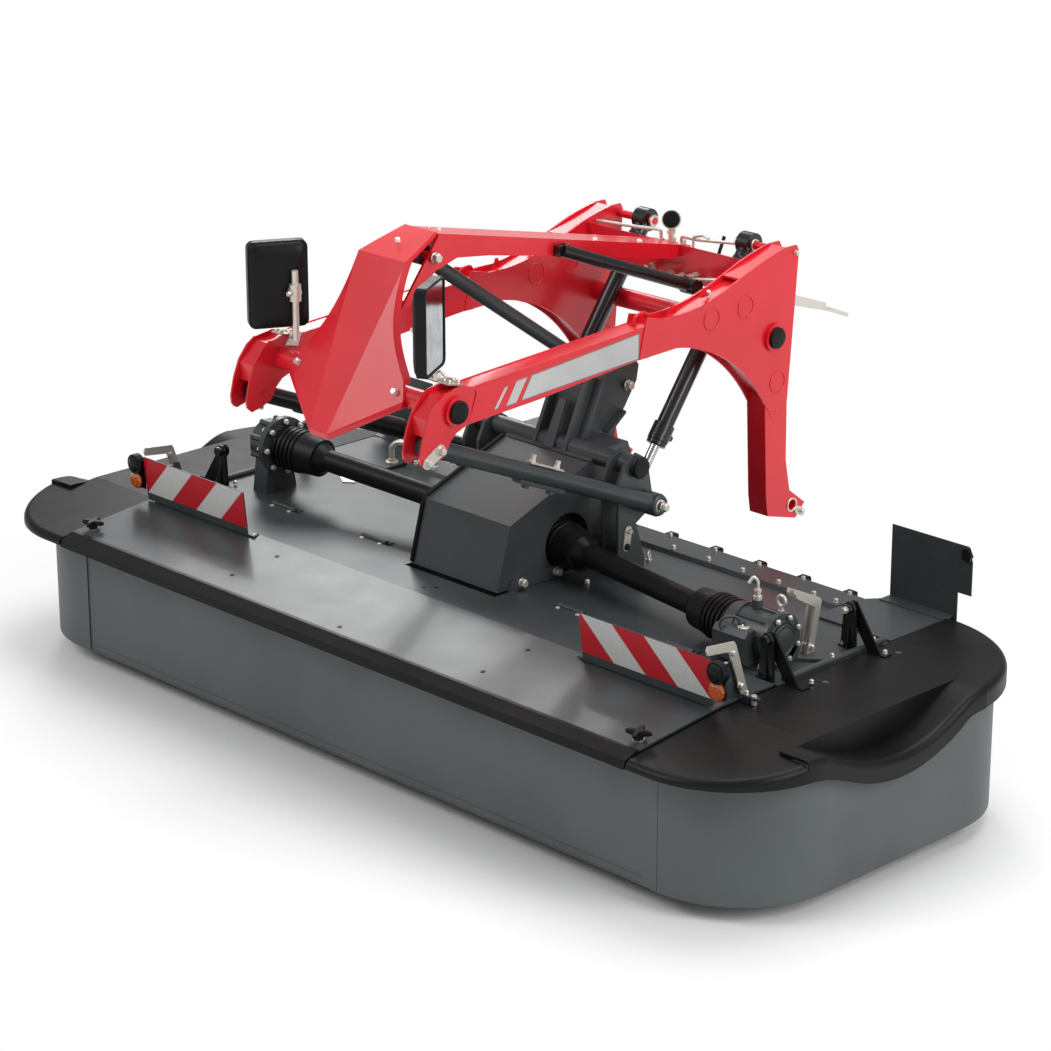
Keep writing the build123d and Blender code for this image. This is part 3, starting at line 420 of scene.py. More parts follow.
# Places that more than one piece uses: Y and Z where two numbers are given
ARCH_OUTER = 381
BEAM_FACE = 379
FRONT_TUBE = (-745, 1116)
REAR_TUBE = (492, 1065)
HOOK_PIN = (-803, 1023)
HOOK_HOLE = (-846, 999)
FOOT_BORE = (590, 540)
CYLINDER_EYE = Vector((205, 575, 1290))
CYLINDER_FOOT = Vector((205, 8, 515))
LINK_X = 345
LINK_BALL = (40, 667)
DECK_TOP = 458
FLAP_TOP = 466
FLAP_FOLD = -545
HINGE_PLACES = (-290, 5)
RIGHT_BOX = (-227, 532)
LEFT_BOX = (-222, 603)
LAMP_X = 1171

# Caps in the ends of the arch's cross tubes
TUBE_END = 389
mesh = bmesh.new()
for side in BOTH:
    for y, z in (FRONT_TUBE, REAR_TUBE):
        lathe(mesh, (side * TUBE_END, y, z), (side, 0, 0), [
            (0, 31), (9, 31), (11.5, 29), (12, 26), (12.6, 24), (12.2, 8)])
piece_of("tube_end_caps", mesh, "arch", black_polyethylene)

# Plug welds, and the beads along the edges of the knee, hook and beam plates
PLUG_WELDS = ((230, 1169), (370, 1177), (512, 928))
EDGE_BEADS = (
    [(-58, 1113), (-52, 1135), (-44, 1175), (-31, 1222)],
    [(-674, 1163), (-668, 1150), (-685, 1105), (-700, 1074)],
    [(464, 866), (500, 835), (555, 866)],
)
BEAM_BEAD = [(-670, 1167), (-450, 1178), (-240, 1188), (-40, 1198)]
BEAD = 2.4
mesh = bmesh.new()
for side in BOTH:
    for y, z in PLUG_WELDS:
        for x in (ARCH_OUTER, 310):
            hoop(mesh, (side * x, y, z), (1, 0, 0), 31, BEAD)
    for run in EDGE_BEADS:
        wire(mesh, bent(at_x(side * 380, run), 20), 2.6)
    for x in (314, 377):
        wire(mesh, at_x(side * x, BEAM_BEAD), BEAD)
piece_of("arch_weld_beads", mesh, "arch", red_enamel)

# Silver link plates on the hooks and feet
mesh = bmesh.new()
for side in BOTH:
    slab(mesh, stadium(HOOK_PIN, HOOK_HOLE, 17, side * ARCH_OUTER), (side * 5, 0, 0), 0.8)
    hex_bolt(mesh, (side * 386, *HOOK_PIN), (side, 0, 0), 19)
    hex_bolt(mesh, (side * 386, *HOOK_HOLE), (side, 0, 0), 16)
    slab(mesh, stadium((613, 520), (634, 508), 12, side * 380), (side * 5, 0, 0), 0.8)
    hex_bolt(mesh, (side * 385, 626, 513), (side, 0, 0), 13)
    hoop(mesh, (side * ARCH_OUTER, *FOOT_BORE), (1, 0, 0), 19, 3)
    for x in (320, 376):
        lathe(mesh, (side * x, -812, 984), (0, 0.3, -1), [(-3, 8), (1, 8), (2, 6)], 6)
piece_of("arch_link_plates", mesh, "arch", zinc_plate)

# Silver decals on the beams: three slanted bars that widen into a plain panel
decals = (
    [(-604, 1091), (-593, 1091), (-555, 1142), (-566, 1142)],
    [(-560, 1091), (-524, 1093), (-485, 1152), (-523, 1150)],
    [(-503, 1095), (-62, 1116), (-62, 1184), (-466, 1153)],
)
for kind, finish, grow, lift in (("keylines", grey_film, 4, 0.25), ("panels", silver_film, 0, 0.5)):
    mesh = bmesh.new()
    for side in BOTH:
        for outline in decals:
            middle = [sum(p[i] for p in outline) / 4 for i in (0, 1)]
            spread = [
                (y + copysign(grow, y - middle[0]), z + copysign(grow * 0.7, z - middle[1]))
                for y, z in outline
            ]
            slab(mesh, at_x(side * BEAM_FACE, spread), (side * lift, 0, 0))
    piece_of("beam_decal_" + kind, mesh, "arch", finish)

# Lugs and a lifting eye on each beam, and the gussets over the knee
LIFTING_EYE = [(-44, 1196), (-42, 1226), (2, 1228), (6, 1200)]
GUSSET = [(345, 1262), (545, 1315), (545, 1308), (345, 1255)]
mesh = bmesh.new()
for side in BOTH:
    for y, z in ((105, 1205), (233, 1226)):
        lug = [(y - 14, z), (y + 14, z), (y + 5, z + 26), (y - 5, z + 26)]
        slab(mesh, at_x(side * LINK_X, lug), (side * 5, 0, 0), 0.8)
    wire(mesh, bent(at_x(side * LINK_X, LIFTING_EYE), 16), 5)
    slab(mesh, at_x(side * 312, GUSSET), (side * 62, 0, 0), 1.0)
piece_of("arch_lifting_eyes", mesh, "arch", red_enamel)

# Bolts of the arch: hood, mast-top pin, knee and the pins of the cylinders
mesh = bmesh.new()
for side in BOTH:
    hex_bolt(mesh, (side * 192, -783, 1136), (side * 0.22, -0.87, 0.45), 16)
    hex_bolt(mesh, (side * 68, -522, 1425), (side, 0, 0), 24)
    hex_bolt(mesh, (side * 22, -464, 1478.5), (0, 0.21, 0.98), 10)
    hex_bolt(mesh, (side * ARCH_OUTER, 575, 1296), (side, 0, 0), 13)
    hex_bolt(mesh, (side * 350, 250, 1231), (0, -0.28, 0.96), 13)
    hoop(mesh, (side * 229, CYLINDER_EYE.y, CYLINDER_EYE.z), (1, 0, 0), 15, 3)
    lathe(mesh, (side * 170.5, CYLINDER_EYE.y, CYLINDER_EYE.z), (-side, 0, 0), [
        (0, 18), (5, 18), (6, 16)], 24)
for x, y, z in ((-10, -583, 1465), (34, 120, 1347), (34, 300, 1310)):
    hex_bolt(mesh, (x, y, z), (0, -0.2 if y < 0 else 0.21, 0.97), 14)
piece_of("arch_bolts", mesh, "arch", zinc_plate)

mesh = bmesh.new()
for side in BOTH:
    lathe(mesh, (side * 164, CYLINDER_EYE.y, CYLINDER_EYE.z), (-side, 0, 0), [
        (0, 11), (1.6, 11), (2.2, 9)], 20)
piece_of("cylinder_pin_ends", mesh, "arch", red_enamel)

# Fittings, steel pipes and pressure gauge at the rear of the arch; each pipe has its bend radius
VALVE_TOP = 1250
PIPES = (
    (18, (-39, 408, 1203), (-39, 385, 1206), (33, 385, 1210), (33, 408, 1196)),
    (25, (77, 408, 1196), (77, 380, 1204), (160, 372, 1214), (250, 382, 1228), (309, 400, 1236)),
    (25, (-40, 470, 1280), (-40, 470, 1306), (-120, 462, 1300), (-230, 470, 1290), (-305, 476, 1284)),
    (20, (40, 470, 1279), (40, 470, 1300), (110, 460, 1304), (200, 520, 1300)),
)
HANDLE = ((100, 455, 1262), (100, 455, 1312), (140, 452, 1324), (162, 452, 1318))
GAUGE = Vector((0, 470, 1342))
GAUGE_FRONT = Vector((0.55, -0.7, 0.3)).normalized()
mesh = bmesh.new()
for x, y in ((-40, 470), (0, 470), (40, 470), (20, 500), (-20, 500)):
    lathe(mesh, (x, y, VALVE_TOP), UP, [
        (0, 11), (10, 11), (11, 8), (20, 8), (21, 10), (30, 10), (31, 7)], 6)
for x, height in ((-39, 1203), (33, 1196), (77, 1196), (130, 1207)):
    lathe(mesh, (x, 440, height), (0, -1, 0), [
        (0, 12), (9, 12), (10, 8), (22, 8), (23, 11), (34, 11), (35, 7)], 6)
for bend, *route in PIPES:
    wire(mesh, bent(route, bend), 5)
lathe(mesh, (0, 470, 1279), UP, [(0, 9), (22, 9), (23, 13), (32, 13), (33, 7), (46, 7)], 12)
lathe(mesh, GAUGE - GAUGE_FRONT * 14, GAUGE_FRONT, [(0, 24), (3, 28), (22, 28), (26, 27)], 32)
wire(mesh, bent(HANDLE, 10), 4)
piece_of("hydraulic_fittings", mesh, "arch", zinc_plate)

mesh = bmesh.new()
lathe(mesh, GAUGE + GAUGE_FRONT * 11, GAUGE_FRONT, [(0, 25), (1.4, 25), (1.8, 24)], 32)
slab(mesh, at_x(104, ((520, 1180), (530, 1175), (585, 1290), (574, 1296))), (6, 0, 0), 1.5)
lathe(mesh, (95, 523, 1178), (1, 0, 0), [(0, 14), (18, 14), (20, 12)], 20)
for x in (-30, 30):
    lathe(mesh, (x, 521, 1215), (0, 1, 0), [(0, 15), (14, 15), (17, 12)], 20)
piece_of("valve_lever_and_gauge_face", mesh, "arch", black_polyethylene)

# Mirrors: glass, its rim and a shallow domed back, standing off a hub on the stalk
FACING = Vector((0.875, 0.485, 0)).normalized()
ACROSS = Vector((-0.485, 0.875, 0)).normalized()
MIRROR_HUB = Vector((245, -744, 1328))


def rounded(side, width, height, corner, depth, steps=6):
    """A rounded upright rectangle on a mirror, at a depth from the back of its shell."""
    centre = MIRROR_HUB + FACING * (30 + depth) - ACROSS * 40
    outline = []
    for quarter, (u, v) in enumerate(((1, 1), (-1, 1), (-1, -1), (1, -1))):
        for i in range(steps + 1):
            angle = pi / 2 * (quarter + i / steps)
            across = u * (width / 2 - corner) + corner * cos(angle)
            high = v * (height / 2 - corner) + corner * sin(angle)
            spot = centre + ACROSS * across + Vector((0, 0, high))
            outline.append(Vector((side * spot.x, spot.y, spot.z)))
    return outline


def stacked(mesh, outlines):
    """Skins a form over outlines with the same number of points, capped at both ends."""
    rings = [[mesh.verts.new(p) for p in outline] for outline in outlines]
    count = len(rings[0])
    for low, high in zip(rings, rings[1:]):
        for i in range(count):
            mesh.faces.new((low[i], low[(i + 1) % count], high[(i + 1) % count], high[i]))
    mesh.faces.new(rings[0][::-1])
    mesh.faces.new(rings[-1])


# Width, height, corner radius and depth of each outline that a mirror's parts are skinned over
MIRROR_GLASS = ((148, 222, 14, 23), (148, 222, 14, 25.2))
MIRROR_RIM = (
    (165, 240, 20, 23), (165, 240, 20, 26.5), (160, 235, 18, 28.5), (152, 227, 15, 28.5), (150, 224, 14, 23.4))
MIRROR_BACK = ((158, 233, 20, 0.5), (150, 224, 20, -7), (126, 198, 22, -13), (96, 160, 24, -16))
glass, shell = bmesh.new(), bmesh.new()
for side in BOTH:
    for target, form in ((glass, MIRROR_GLASS), (shell, MIRROR_RIM), (shell, MIRROR_BACK)):
        stacked(target, [rounded(side, *outline) for outline in form])
piece_of("mirror_glass", glass, "arch", mirror_glass)
piece_of("mirror_rims_and_backs", shell, "arch", black_polyethylene)

# Clamps that hold the mirror stalks on the beams
mesh = bmesh.new()
for side in BOTH:
    foot = ((312, -742, 1178), (352, -742, 1178), (352, -690, 1168), (312, -690, 1168))
    slab(mesh, [(side * x, y, z) for x, y, z in foot], (0, 0, 4), 0.8)
    for x, y in ((322, -732), (342, -732), (322, -700), (342, -700)):
        hex_bolt(mesh, (side * x, y, 1182 - (y + 742) * 0.19), (0, 0.19, 0.98), 10)
    wire(mesh, bent([(side * 304, -705, 1182), (side * 292, -712, 1200), (side * 286, -726, 1188)], 10), 5)
    lathe(mesh, (side * 286, -720, 1176), UP, [(0, 11), (18, 11), (20, 9)], 6)
    hex_bolt(mesh, (side * 245, -760.5, 1311), (0, -1, 0), 13)
piece_of("mirror_clamps", mesh, "arch", zinc_plate)

# Relief cylinders: a collar at each end of the barrel, and their ports
down = (CYLINDER_FOOT - CYLINDER_EYE).normalized()
rear = Vector((0, -down.z, down.y)).normalized()
length = (CYLINDER_FOOT - CYLINDER_EYE).length
for side, half in HALVES:
    mesh = bmesh.new()
    start = Vector((side * CYLINDER_EYE.x, CYLINDER_EYE.y, CYLINDER_EYE.z))
    lathe(mesh, start, down, [
        (0.60 * length, 26), (0.60 * length + 2, 31), (0.655 * length, 31), (0.657 * length, 29),
        (0.668 * length, 29), (0.67 * length, 22)])
    lathe(mesh, start, down, [(36, 20), (52, 27.5), (70, 27.5), (74, 25.5)])
    port = start + down * (0.628 * length)
    lathe(mesh, port + rear * 20, rear, [(0, 13), (18, 13), (19, 10), (28, 10), (30, 8)], 6)
    port = start + down * 92
    lathe(mesh, port - rear * 20, -rear, [(0, 12), (14, 12), (15, 9), (20, 9)], 6)
    piece_of("cylinder_collars_" + half, mesh, "barrel_" + half, black_enamel)

# Ends of the mast's pins and of the lower links
mesh = bmesh.new()
for side in BOTH:
    lathe(mesh, (side * 326, 7, 775), (side, 0, 0), [(0, 31), (6, 31), (8.5, 29), (9, 24)])
    lathe(mesh, (side * 312, -35, 551), (side, 0, 0), [(0, 10), (9, 10), (10, 8)], 20)
piece_of("mast_pin_caps", mesh, "mower", black_polyethylene)

mesh = bmesh.new()
for side in BOTH:
    slab(mesh, stadium((-28, 596), (-35, 551), 14, side * 314), (side * 4, 0, 0), 0.8)
    hex_bolt(mesh, (side * 318, -28, 596), (side, 0, 0), 13)
    hex_bolt(mesh, (side * 76, 215, 917), (side, 0, 0), 24)
    hex_bolt(mesh, (side * 384, *LINK_BALL), (side, 0, 0), 22)
    lathe(mesh, (side * 370, *LINK_BALL), (side, 0, 0), [(0, 19), (4, 19), (5, 17)], 24)
    for z in (740, 680):
        hex_bolt(mesh, (side * 170, 100, z), (side, 0, 0), 16)
piece_of("mast_link_plates_and_bolts", mesh, "mower", zinc_plate)

# Stiffeners on the faces of the mast
MAST_RIBS = (
    ((20, 800), (96, 958), (104, 958), (40, 800)),
    ((120, 800), (190, 850), (196, 842), (130, 792)),
)
mesh = bmesh.new()
for side in BOTH:
    for rib in MAST_RIBS:
        slab(mesh, at_x(side * 66, rib), (side * 26, 0, 0), 1.0)
slab(mesh, [(x, -34, 770) for x in (-20, 20)] + [(14, 30, 900), (-14, 30, 900)], (0, 6, 0), 1.0)
piece_of("mast_stiffeners", mesh, "mower", slate_enamel)

# Clamp on the right lower link, with its two bolts, and the collar at its ball
hook_end = Vector((LINK_X, *HOOK_PIN))
link_way = (Vector((LINK_X, *LINK_BALL)) - hook_end).normalized()
link_up = Vector((0, -link_way.z, link_way.y))
zinc, dark = bmesh.new(), bmesh.new()


def along_link(reach, half_length, half_width, height):
    """Corners of a plate on the link, at a reach from its hook and a height over its middle."""
    middle = hook_end + link_way * reach + link_up * height
    return [
        middle + link_way * half_length * a + Vector((half_width * b, 0, 0))
        for a, b in ((-1, -1), (1, -1), (1, 1), (-1, 1))
    ]


for reach in (390, 490):
    spot = hook_end + link_way * reach
    hex_bolt(zinc, spot + link_up * 24, link_up, 16)
    lathe(zinc, spot + link_up * 36, link_up, [(0, 7), (14, 7), (15, 5)], 12)
    lathe(dark, spot - link_up * 44, link_up, [(0, 12), (30, 12)], 6)
slab(zinc, along_link(440, 68, 14, 25), link_up * 5, 1.0)
slab(dark, along_link(440, 90, 16, -34), link_up * 12, 2.0)
hoop(dark, (LINK_X + 24, *LINK_BALL), (1, 0, 0), 24, 7)
piece_of("link_clamp_plate", zinc, "lower_link_right", zinc_plate)
piece_of("link_clamp_base", dark, "lower_link_right", slate_enamel)

# Cover of the centre gearbox: side flanges, corner bolts and the rubber edge on its left
COVER_SIDE = 175
mesh, bolts, edge = bmesh.new(), bmesh.new(), bmesh.new()
for side in BOTH:
    flange = ((-366, 460), (-350, 494), (-150, 500), (-150, 460))
    slab(mesh, at_x(side * COVER_SIDE, flange), (side * 4, 0, 0), 0.8)
    for y in (-310, -174):
        hex_bolt(bolts, (side * (COVER_SIDE + 4), y, 479), (side, 0, 0), 22)
    hex_bolt(bolts, (side * 268, -141, DECK_TOP), UP, 13)
wire(edge, bent(at_x(-171, ((-402, 476), (-353, 656), (-42, 769))), 24), 6)
piece_of("gearbox_cover_flanges", mesh, "mower", slate_enamel)
piece_of("gearbox_cover_bolts", bolts, "mower", zinc_plate)
piece_of("gearbox_cover_edge", edge, "mower", black_rubber)

# End gearboxes: cover bolts on both, and on the right one its oil filler, breather and eye bolt
bolts, cast = bmesh.new(), bmesh.new()
for turn in range(8):
    angle = pi / 4 * turn
    hex_bolt(bolts, (1066, *on_circle(RIGHT_BOX, 61, angle + pi / 8)), (1, 0, 0), 13, False)
    hex_bolt(bolts, (-920.5, *on_circle(LEFT_BOX, 77, angle)), (1, 0, 0), 15, False)
    hex_bolt(bolts, (-950, *on_circle(LEFT_BOX, 77, angle)), (-1, 0, 0), 13, False)
hoop(cast, (1063, *RIGHT_BOX), (1, 0, 0), 50, 3)
hoop(cast, (1068, *RIGHT_BOX), (1, 0, 0), 40, 2.2)
lathe(cast, (1067, *RIGHT_BOX), (1, 0, 0), [(0, 34), (4, 33), (5, 30)])
lathe(cast, (-1009, *LEFT_BOX), (-1, 0, 0), [(0, 52), (8, 50), (12, 44)])
for angle in (0.3, 0.9, 1.6, 2.3, 2.9):
    y, z = on_circle(RIGHT_BOX, 66, angle)
    rib = ((944, z - 4), (1046, z - 4), (1046, z + 5), (944, z + 3))
    slab(cast, at_y(1, rib, y - 2), (0, 4, 0), 0.8)
lathe(bolts, (985, -290, 562.5), UP, [(0, 17), (3, 17), (4, 15), (4.2, 9), (2, 8)], 28)
wire(cast, bent([
    (938, -320, 551), (930, -326, 566), (938, -318, 586), (968, -296, 590), (974, -290, 562)], 12), 4)
lathe(bolts, (975, -227, 620), UP, [
    (0, 13), (12, 13), (13, 9), (22, 9), (23, 11), (30, 11), (31, 6)], 6)
wire(bolts, bent([(975, -227, 648), (975, -227, 672), (968, -236, 686), (960, -246, 668)], 10), 5)
hoop(bolts, (1034, -200, 626), (0, 1, 0), 14, 4.5)
lathe(bolts, (1034, -200, 594), UP, [(0, 9), (6, 9), (7, 6), (19, 6)], 12)
for x, y in ((925, -290), (1045, -290), (925, -160), (1045, -160)):
    hex_bolt(bolts, (x, y, 466), UP, 13)
piece_of("gearbox_bolts", bolts, "mower", zinc_plate)
piece_of("gearbox_castings", cast, "mower", slate_enamel)

# Support tongues beside the right gearbox, and the folded ledge before the rubber strip
mesh = bmesh.new()
for outline, height in (
    (((1048, -160), (1062, -175), (1132, -118), (1120, -100)), 7),
    (((1055, -240), (1062, -240), (1062, -160), (1055, -160)), 40),
):
    slab(mesh, at_z(1, outline, DECK_TOP + 1), (0, 0, height), 1.0)
LEDGE_HALF = 870
slab(mesh, at_x(-LEDGE_HALF, ((214, 446), (224, 457), (334, 449), (340, 439))), (2 * LEDGE_HALF, 0, 0))
piece_of("deck_ledge_and_tongues", mesh, "mower", slate_enamel)

# Bolts and straps that hold the rear strip, bolts of the edge rails, and two eye bolts
RAIL_X = 1134
LEDGE_OUT = (0, 0.07, 1)
bolts, straps = bmesh.new(), bmesh.new()
for side in BOTH:
    for x in (60, 240, 376, 506, 640, 770, 850):
        hex_bolt(bolts, (side * x, 240, 456), LEDGE_OUT, 13)
    for x in (120, 296, 465, 630, 800):
        brick(straps, (side * x - 16, 336, 425), (side * x + 16, 375, 444), 2.5)
        hex_bolt(bolts, (side * x + 26, 328, 449), LEDGE_OUT, 11)
    for y in (-108, 60):
        hex_bolt(bolts, (side * RAIL_X, y, 472), UP, 11)
    hoop(bolts, (side * 247, 130, 468), (1, 0.4, 0), 9, 3)
    lathe(bolts, (side * 247, 130, 451), UP, [(0, 10), (4, 10), (5, 6), (10, 6)], 12)
piece_of("rear_strip_bolts", bolts, "mower", zinc_plate)
piece_of("rear_strip_straps", straps, "mower", black_rubber)

# Pivot bolts of the cover hinges and of the flat handles, the bent pipe and its bare foot plate
mesh = bmesh.new()
for side in BOTH:
    for y in HINGE_PLACES:
        hex_bolt(mesh, (side * 1100, y - 22, 570), (0, -1, 0), 16)
        hex_bolt(mesh, (side * 1078, y - 4, 463), UP, 10)
for x in (1054, 1030):
    hex_bolt(mesh, (x, -101, 476), (1, 0, 0), 13)
wire(mesh, bent([(-905, 190, 460), (-905, 190, 512), (-888, 200, 528), (-850, 214, 528)], 22), 9)
lathe(mesh, (-905, 190, DECK_TOP), UP, [(0, 20), (6, 20), (7, 12), (14, 12)], 20)
slab(mesh, at_z(1, ((-952, 6), (-863, 16), (-838, -24), (-868, -46)), DECK_TOP + 0.4), (0, 0, 2.5), 0.5)
piece_of("hinge_and_handle_bolts", mesh, "mower", zinc_plate)

# Front flap: plugs, screws, board feet and brackets of the latches
KNOB = (1106, -811)
FLAP_OUT = Vector((0, -0.104, 0.9946))
PLUGS = (
    (-504, -617, 458.6), (-510, -777, 441.8), (516, -617, 458.6), (513, -778, 441.7),
    (-9, -506, FLAP_TOP), (15, -481, FLAP_TOP), (-2, -822, 437),
)
FOOT_BASE = FLAP_TOP + 0.2
BOARD_FOOT = ((655, -574), (700, -574), (700, -546), (668, -546))
LATCH_CHEEK = (
    (-508, FOOT_BASE), (-508, 520), (-494, 566), (-474, 566), (-462, 520), (-430, FOOT_BASE))
LATCH_FOOT = ((1080, -505), (1124, -505), (1124, -440), (1080, -440))
LATCH_WIRE = ((1100, -560, 560), (1112, -540, 566), (1118, -500, 560))
plugs, screws, feet = bmesh.new(), bmesh.new(), bmesh.new()
for x, y, z in PLUGS:
    out = UP if y > FLAP_FOLD else FLAP_OUT
    lathe(plugs, (x, y, z - 0.6), out, [(0, 7), (1.2, 7), (1.6, 5.5)], 20)
for side in BOTH:
    for x in (438, 362, 838, 762):
        lathe(screws, (side * x, -352, FLAP_TOP), UP, [(0, 7), (2, 6.4), (3, 4)], 18)
    lathe(screws, (side * KNOB[0], KNOB[1], 439), FLAP_OUT, [(0, 15), (1.5, 15), (2, 13)], 28)
    slab(feet, at_z(side, BOARD_FOOT, FOOT_BASE), (0, 0, 3), 0.6)
    lathe(screws, (side * 672, -560, 469), UP, [(0, 5), (1.5, 4.6), (2, 3)], 14)
    slab(feet, at_x(side * 1116, LATCH_CHEEK), (side * 6, 0, 0), 0.8)
    slab(feet, at_z(side, LATCH_FOOT, FOOT_BASE), (0, 0, 4), 0.8)
    hex_bolt(screws, (side * 1134, -470, 494), (side, 0, 0), 15)
    hex_bolt(screws, (side * 1097, -484, 470), UP, 11)
    lathe(screws, (side * 1121, -496, 590), (side, 0, 0), [(0, 8), (18, 8), (20, 6)], 18)
    wire(screws, bent([(side * x, y, z) for x, y, z in LATCH_WIRE], 10), 3)
piece_of("flap_plugs", plugs, "front_flap", black_polyethylene)
piece_of("flap_screws", screws, "front_flap", zinc_plate)
piece_of("board_feet_and_latch_brackets", feet, "front_flap", slate_enamel)

# Striped films on the warning boards: the front ones lean forward, the rear ones stand upright
FILM = 0.5
FRONT_FILM = ((681, 490), (1140, 490), (1140, 601), (681, 601))
REAR_FILM = ((927, 470), (1156, 470), (1156, 532), (1202, 532), (1202, 624), (1189, 666), (927, 666))
mesh = bmesh.new()
for side in BOTH:
    slab(mesh, [(side * x, -577.4 - 14 * (z - FLAP_TOP) / 136, z) for x, z in FRONT_FILM], (0, -FILM, 0))
piece_of("front_board_faces", mesh, "front_flap", warning_sheeting)
mesh = bmesh.new()
for side in BOTH:
    slab(mesh, at_y(side, REAR_FILM, 384.2), (0, FILM, 0))
piece_of("rear_board_faces", mesh, "mower", warning_sheeting)

# Lamps on the outer ends of the boards, and their orange reflectors
dark, amber = bmesh.new(), bmesh.new()
for side in BOTH:
    lathe(dark, (side * LAMP_X, -603, 575), (0, -1, 0), [(0, 27), (3, 27), (7, 20), (8, 8)], 5)
    brick(dark, (side * LAMP_X - 12, -584, 562), (side * LAMP_X + 12, -574, 588), 2)
    lathe(amber, (side * LAMP_X, -595.5, 525), (0, -1, 0), [(0, 26), (4, 26), (5.5, 23), (6, 10)], 32)
piece_of("marker_lamp_noses", dark, "front_flap", black_polyethylene)
piece_of("marker_reflectors", amber, "front_flap", amber_lens)
dark, amber = bmesh.new(), bmesh.new()
for side in BOTH:
    back = ((1176, 632), (1200, 628), (1208, 645), (1196, 668), (1178, 664))
    slab(dark, at_y(side, back, 381), (0, -14, 0), 1.5)
    lathe(amber, (side * 1180, 384.5, 575), (0, 1, 0), [(0, 20), (3, 20), (4, 17)], 28)
piece_of("rear_lamp_backs", dark, "mower", black_polyethylene)
piece_of("rear_reflectors", amber, "mower", amber_lens)

# On each end cover: the latch arm with its pins, and the lap of the end curtain over the front one
LATCH_ARM = ((1150, -482), (1200, -482), (1207, -474), (1200, -462), (1150, -466))
ARM_BLOCK = ((1152, -484), (1176, -484), (1176, -460), (1152, -460))
CURTAIN_LAP = ((1132, 54), (1184, 54), (1184, 412), (1132, 412))
for side, half in HALVES:
    cover = "end_cover_" + half
    dark, pale = bmesh.new(), bmesh.new()
    slab(dark, at_z(side, LATCH_ARM, 472), (0, 0, 7), 1.5)
    slab(dark, at_z(side, ARM_BLOCK, 459), (0, 0, 14), 1)
    lathe(pale, (side * 1188, -474, 459), UP, [(0, 8), (24, 8), (26, 6)], 16)
    hex_bolt(pale, (side * 1160, -472, 479), UP, 11)
    for y in HINGE_PLACES:
        hex_bolt(pale, (side * 1200, y + 24, 462), UP, 11)
        lathe(dark, (side * 1215, y + 62, 457.6), UP, [(0, 9), (1.2, 9), (1.4, 7)], 20)
    lap = bmesh.new()
    slab(lap, at_y(side, CURTAIN_LAP, -821.2), (0, -1.6, 0))
    piece_of("curtain_lap_" + half, lap, cover, curtain_cloth)
    piece_of("latch_arm_" + half, dark, cover, slate_enamel)
    piece_of("latch_pins_" + half, pale, cover, zinc_plate)

# Star knobs with four hollow-sided arms, in place of the plain ones
KNOB_BASE = 440.2
HUB_RADIUS = 13
ARM_REACH = 36
KNOB_TURN = 0.4
KNOB_LEVELS = ((0.8, 452), (0.97, 454.5), (1.0, 458), (0.97, 463), (0.8, 466))
mesh = bmesh.new()
for side in BOTH:
    star = []
    for i in range(64):
        angle = 2 * pi * i / 64
        radius = HUB_RADIUS + (ARM_REACH - HUB_RADIUS) * abs(cos(2 * angle)) ** 3.2
        star.append((radius * cos(angle + KNOB_TURN), radius * sin(angle + KNOB_TURN)))
    stacked(mesh, [
        [Vector((side * KNOB[0] + x * share, KNOB[1] + y * share, z)) for x, y in star]
        for share, z in KNOB_LEVELS])
    lathe(mesh, (side * KNOB[0], KNOB[1], KNOB_BASE), UP, [(0, 14), (8, 11), (14, 12)], 24)
knobs = piece_of("star_knob_heads", mesh, "front_flap", black_polyethylene)
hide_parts("star_knobs")

# Discs: centre bolts and blade bolts, which turn with them
DISC_PITCH = 410
DISC_Y = -500
BLADE_BOLT = 148
for number in range(1, 8):
    x = DISC_PITCH * (number - 4)
    mesh = bmesh.new()
    hex_bolt(mesh, (x, DISC_Y, 150), UP, 24)
    turn = pi / 2 * (number % 2)
    for flip in BOTH:
        reach = flip * BLADE_BOLT
        hex_bolt(mesh, (x + reach * cos(turn), DISC_Y + reach * sin(turn), 108), UP, 19)
    piece_of("disc_bolts_%d" % number, mesh, "disc_%d" % number, worn_steel)

# Rubber seals in the seams between the flap and the end covers
SEAL = ((-352, 463), (FLAP_FOLD, 463), (-815, 434.8), (-815, 414), (FLAP_FOLD, 442), (-352, 442))
mesh = bmesh.new()
flap_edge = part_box("front_flap")[1][0] / MM - 0.5
cover_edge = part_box("end_cover_right")[0][0] / MM - 0.5
for side in BOTH:
    slab(mesh, at_x(side * flap_edge, SEAL), (side * (cover_edge - flap_edge), 0, 0))
piece_of("flap_side_seals", mesh, "front_flap", black_rubber)

# Hem of the front curtain: two welded ribs
HEM_HALF = 1142
mesh = bmesh.new()
for z in (54, 74):
    rib = ((-HEM_HALF, z - 1.5), (HEM_HALF, z - 1.5), (HEM_HALF, z + 1.5), (-HEM_HALF, z + 1.5))
    slab(mesh, at_y(1, rib, -819.4), (0, -0.8, 0))
piece_of("front_curtain_hem", mesh, "front_flap", curtain_cloth)

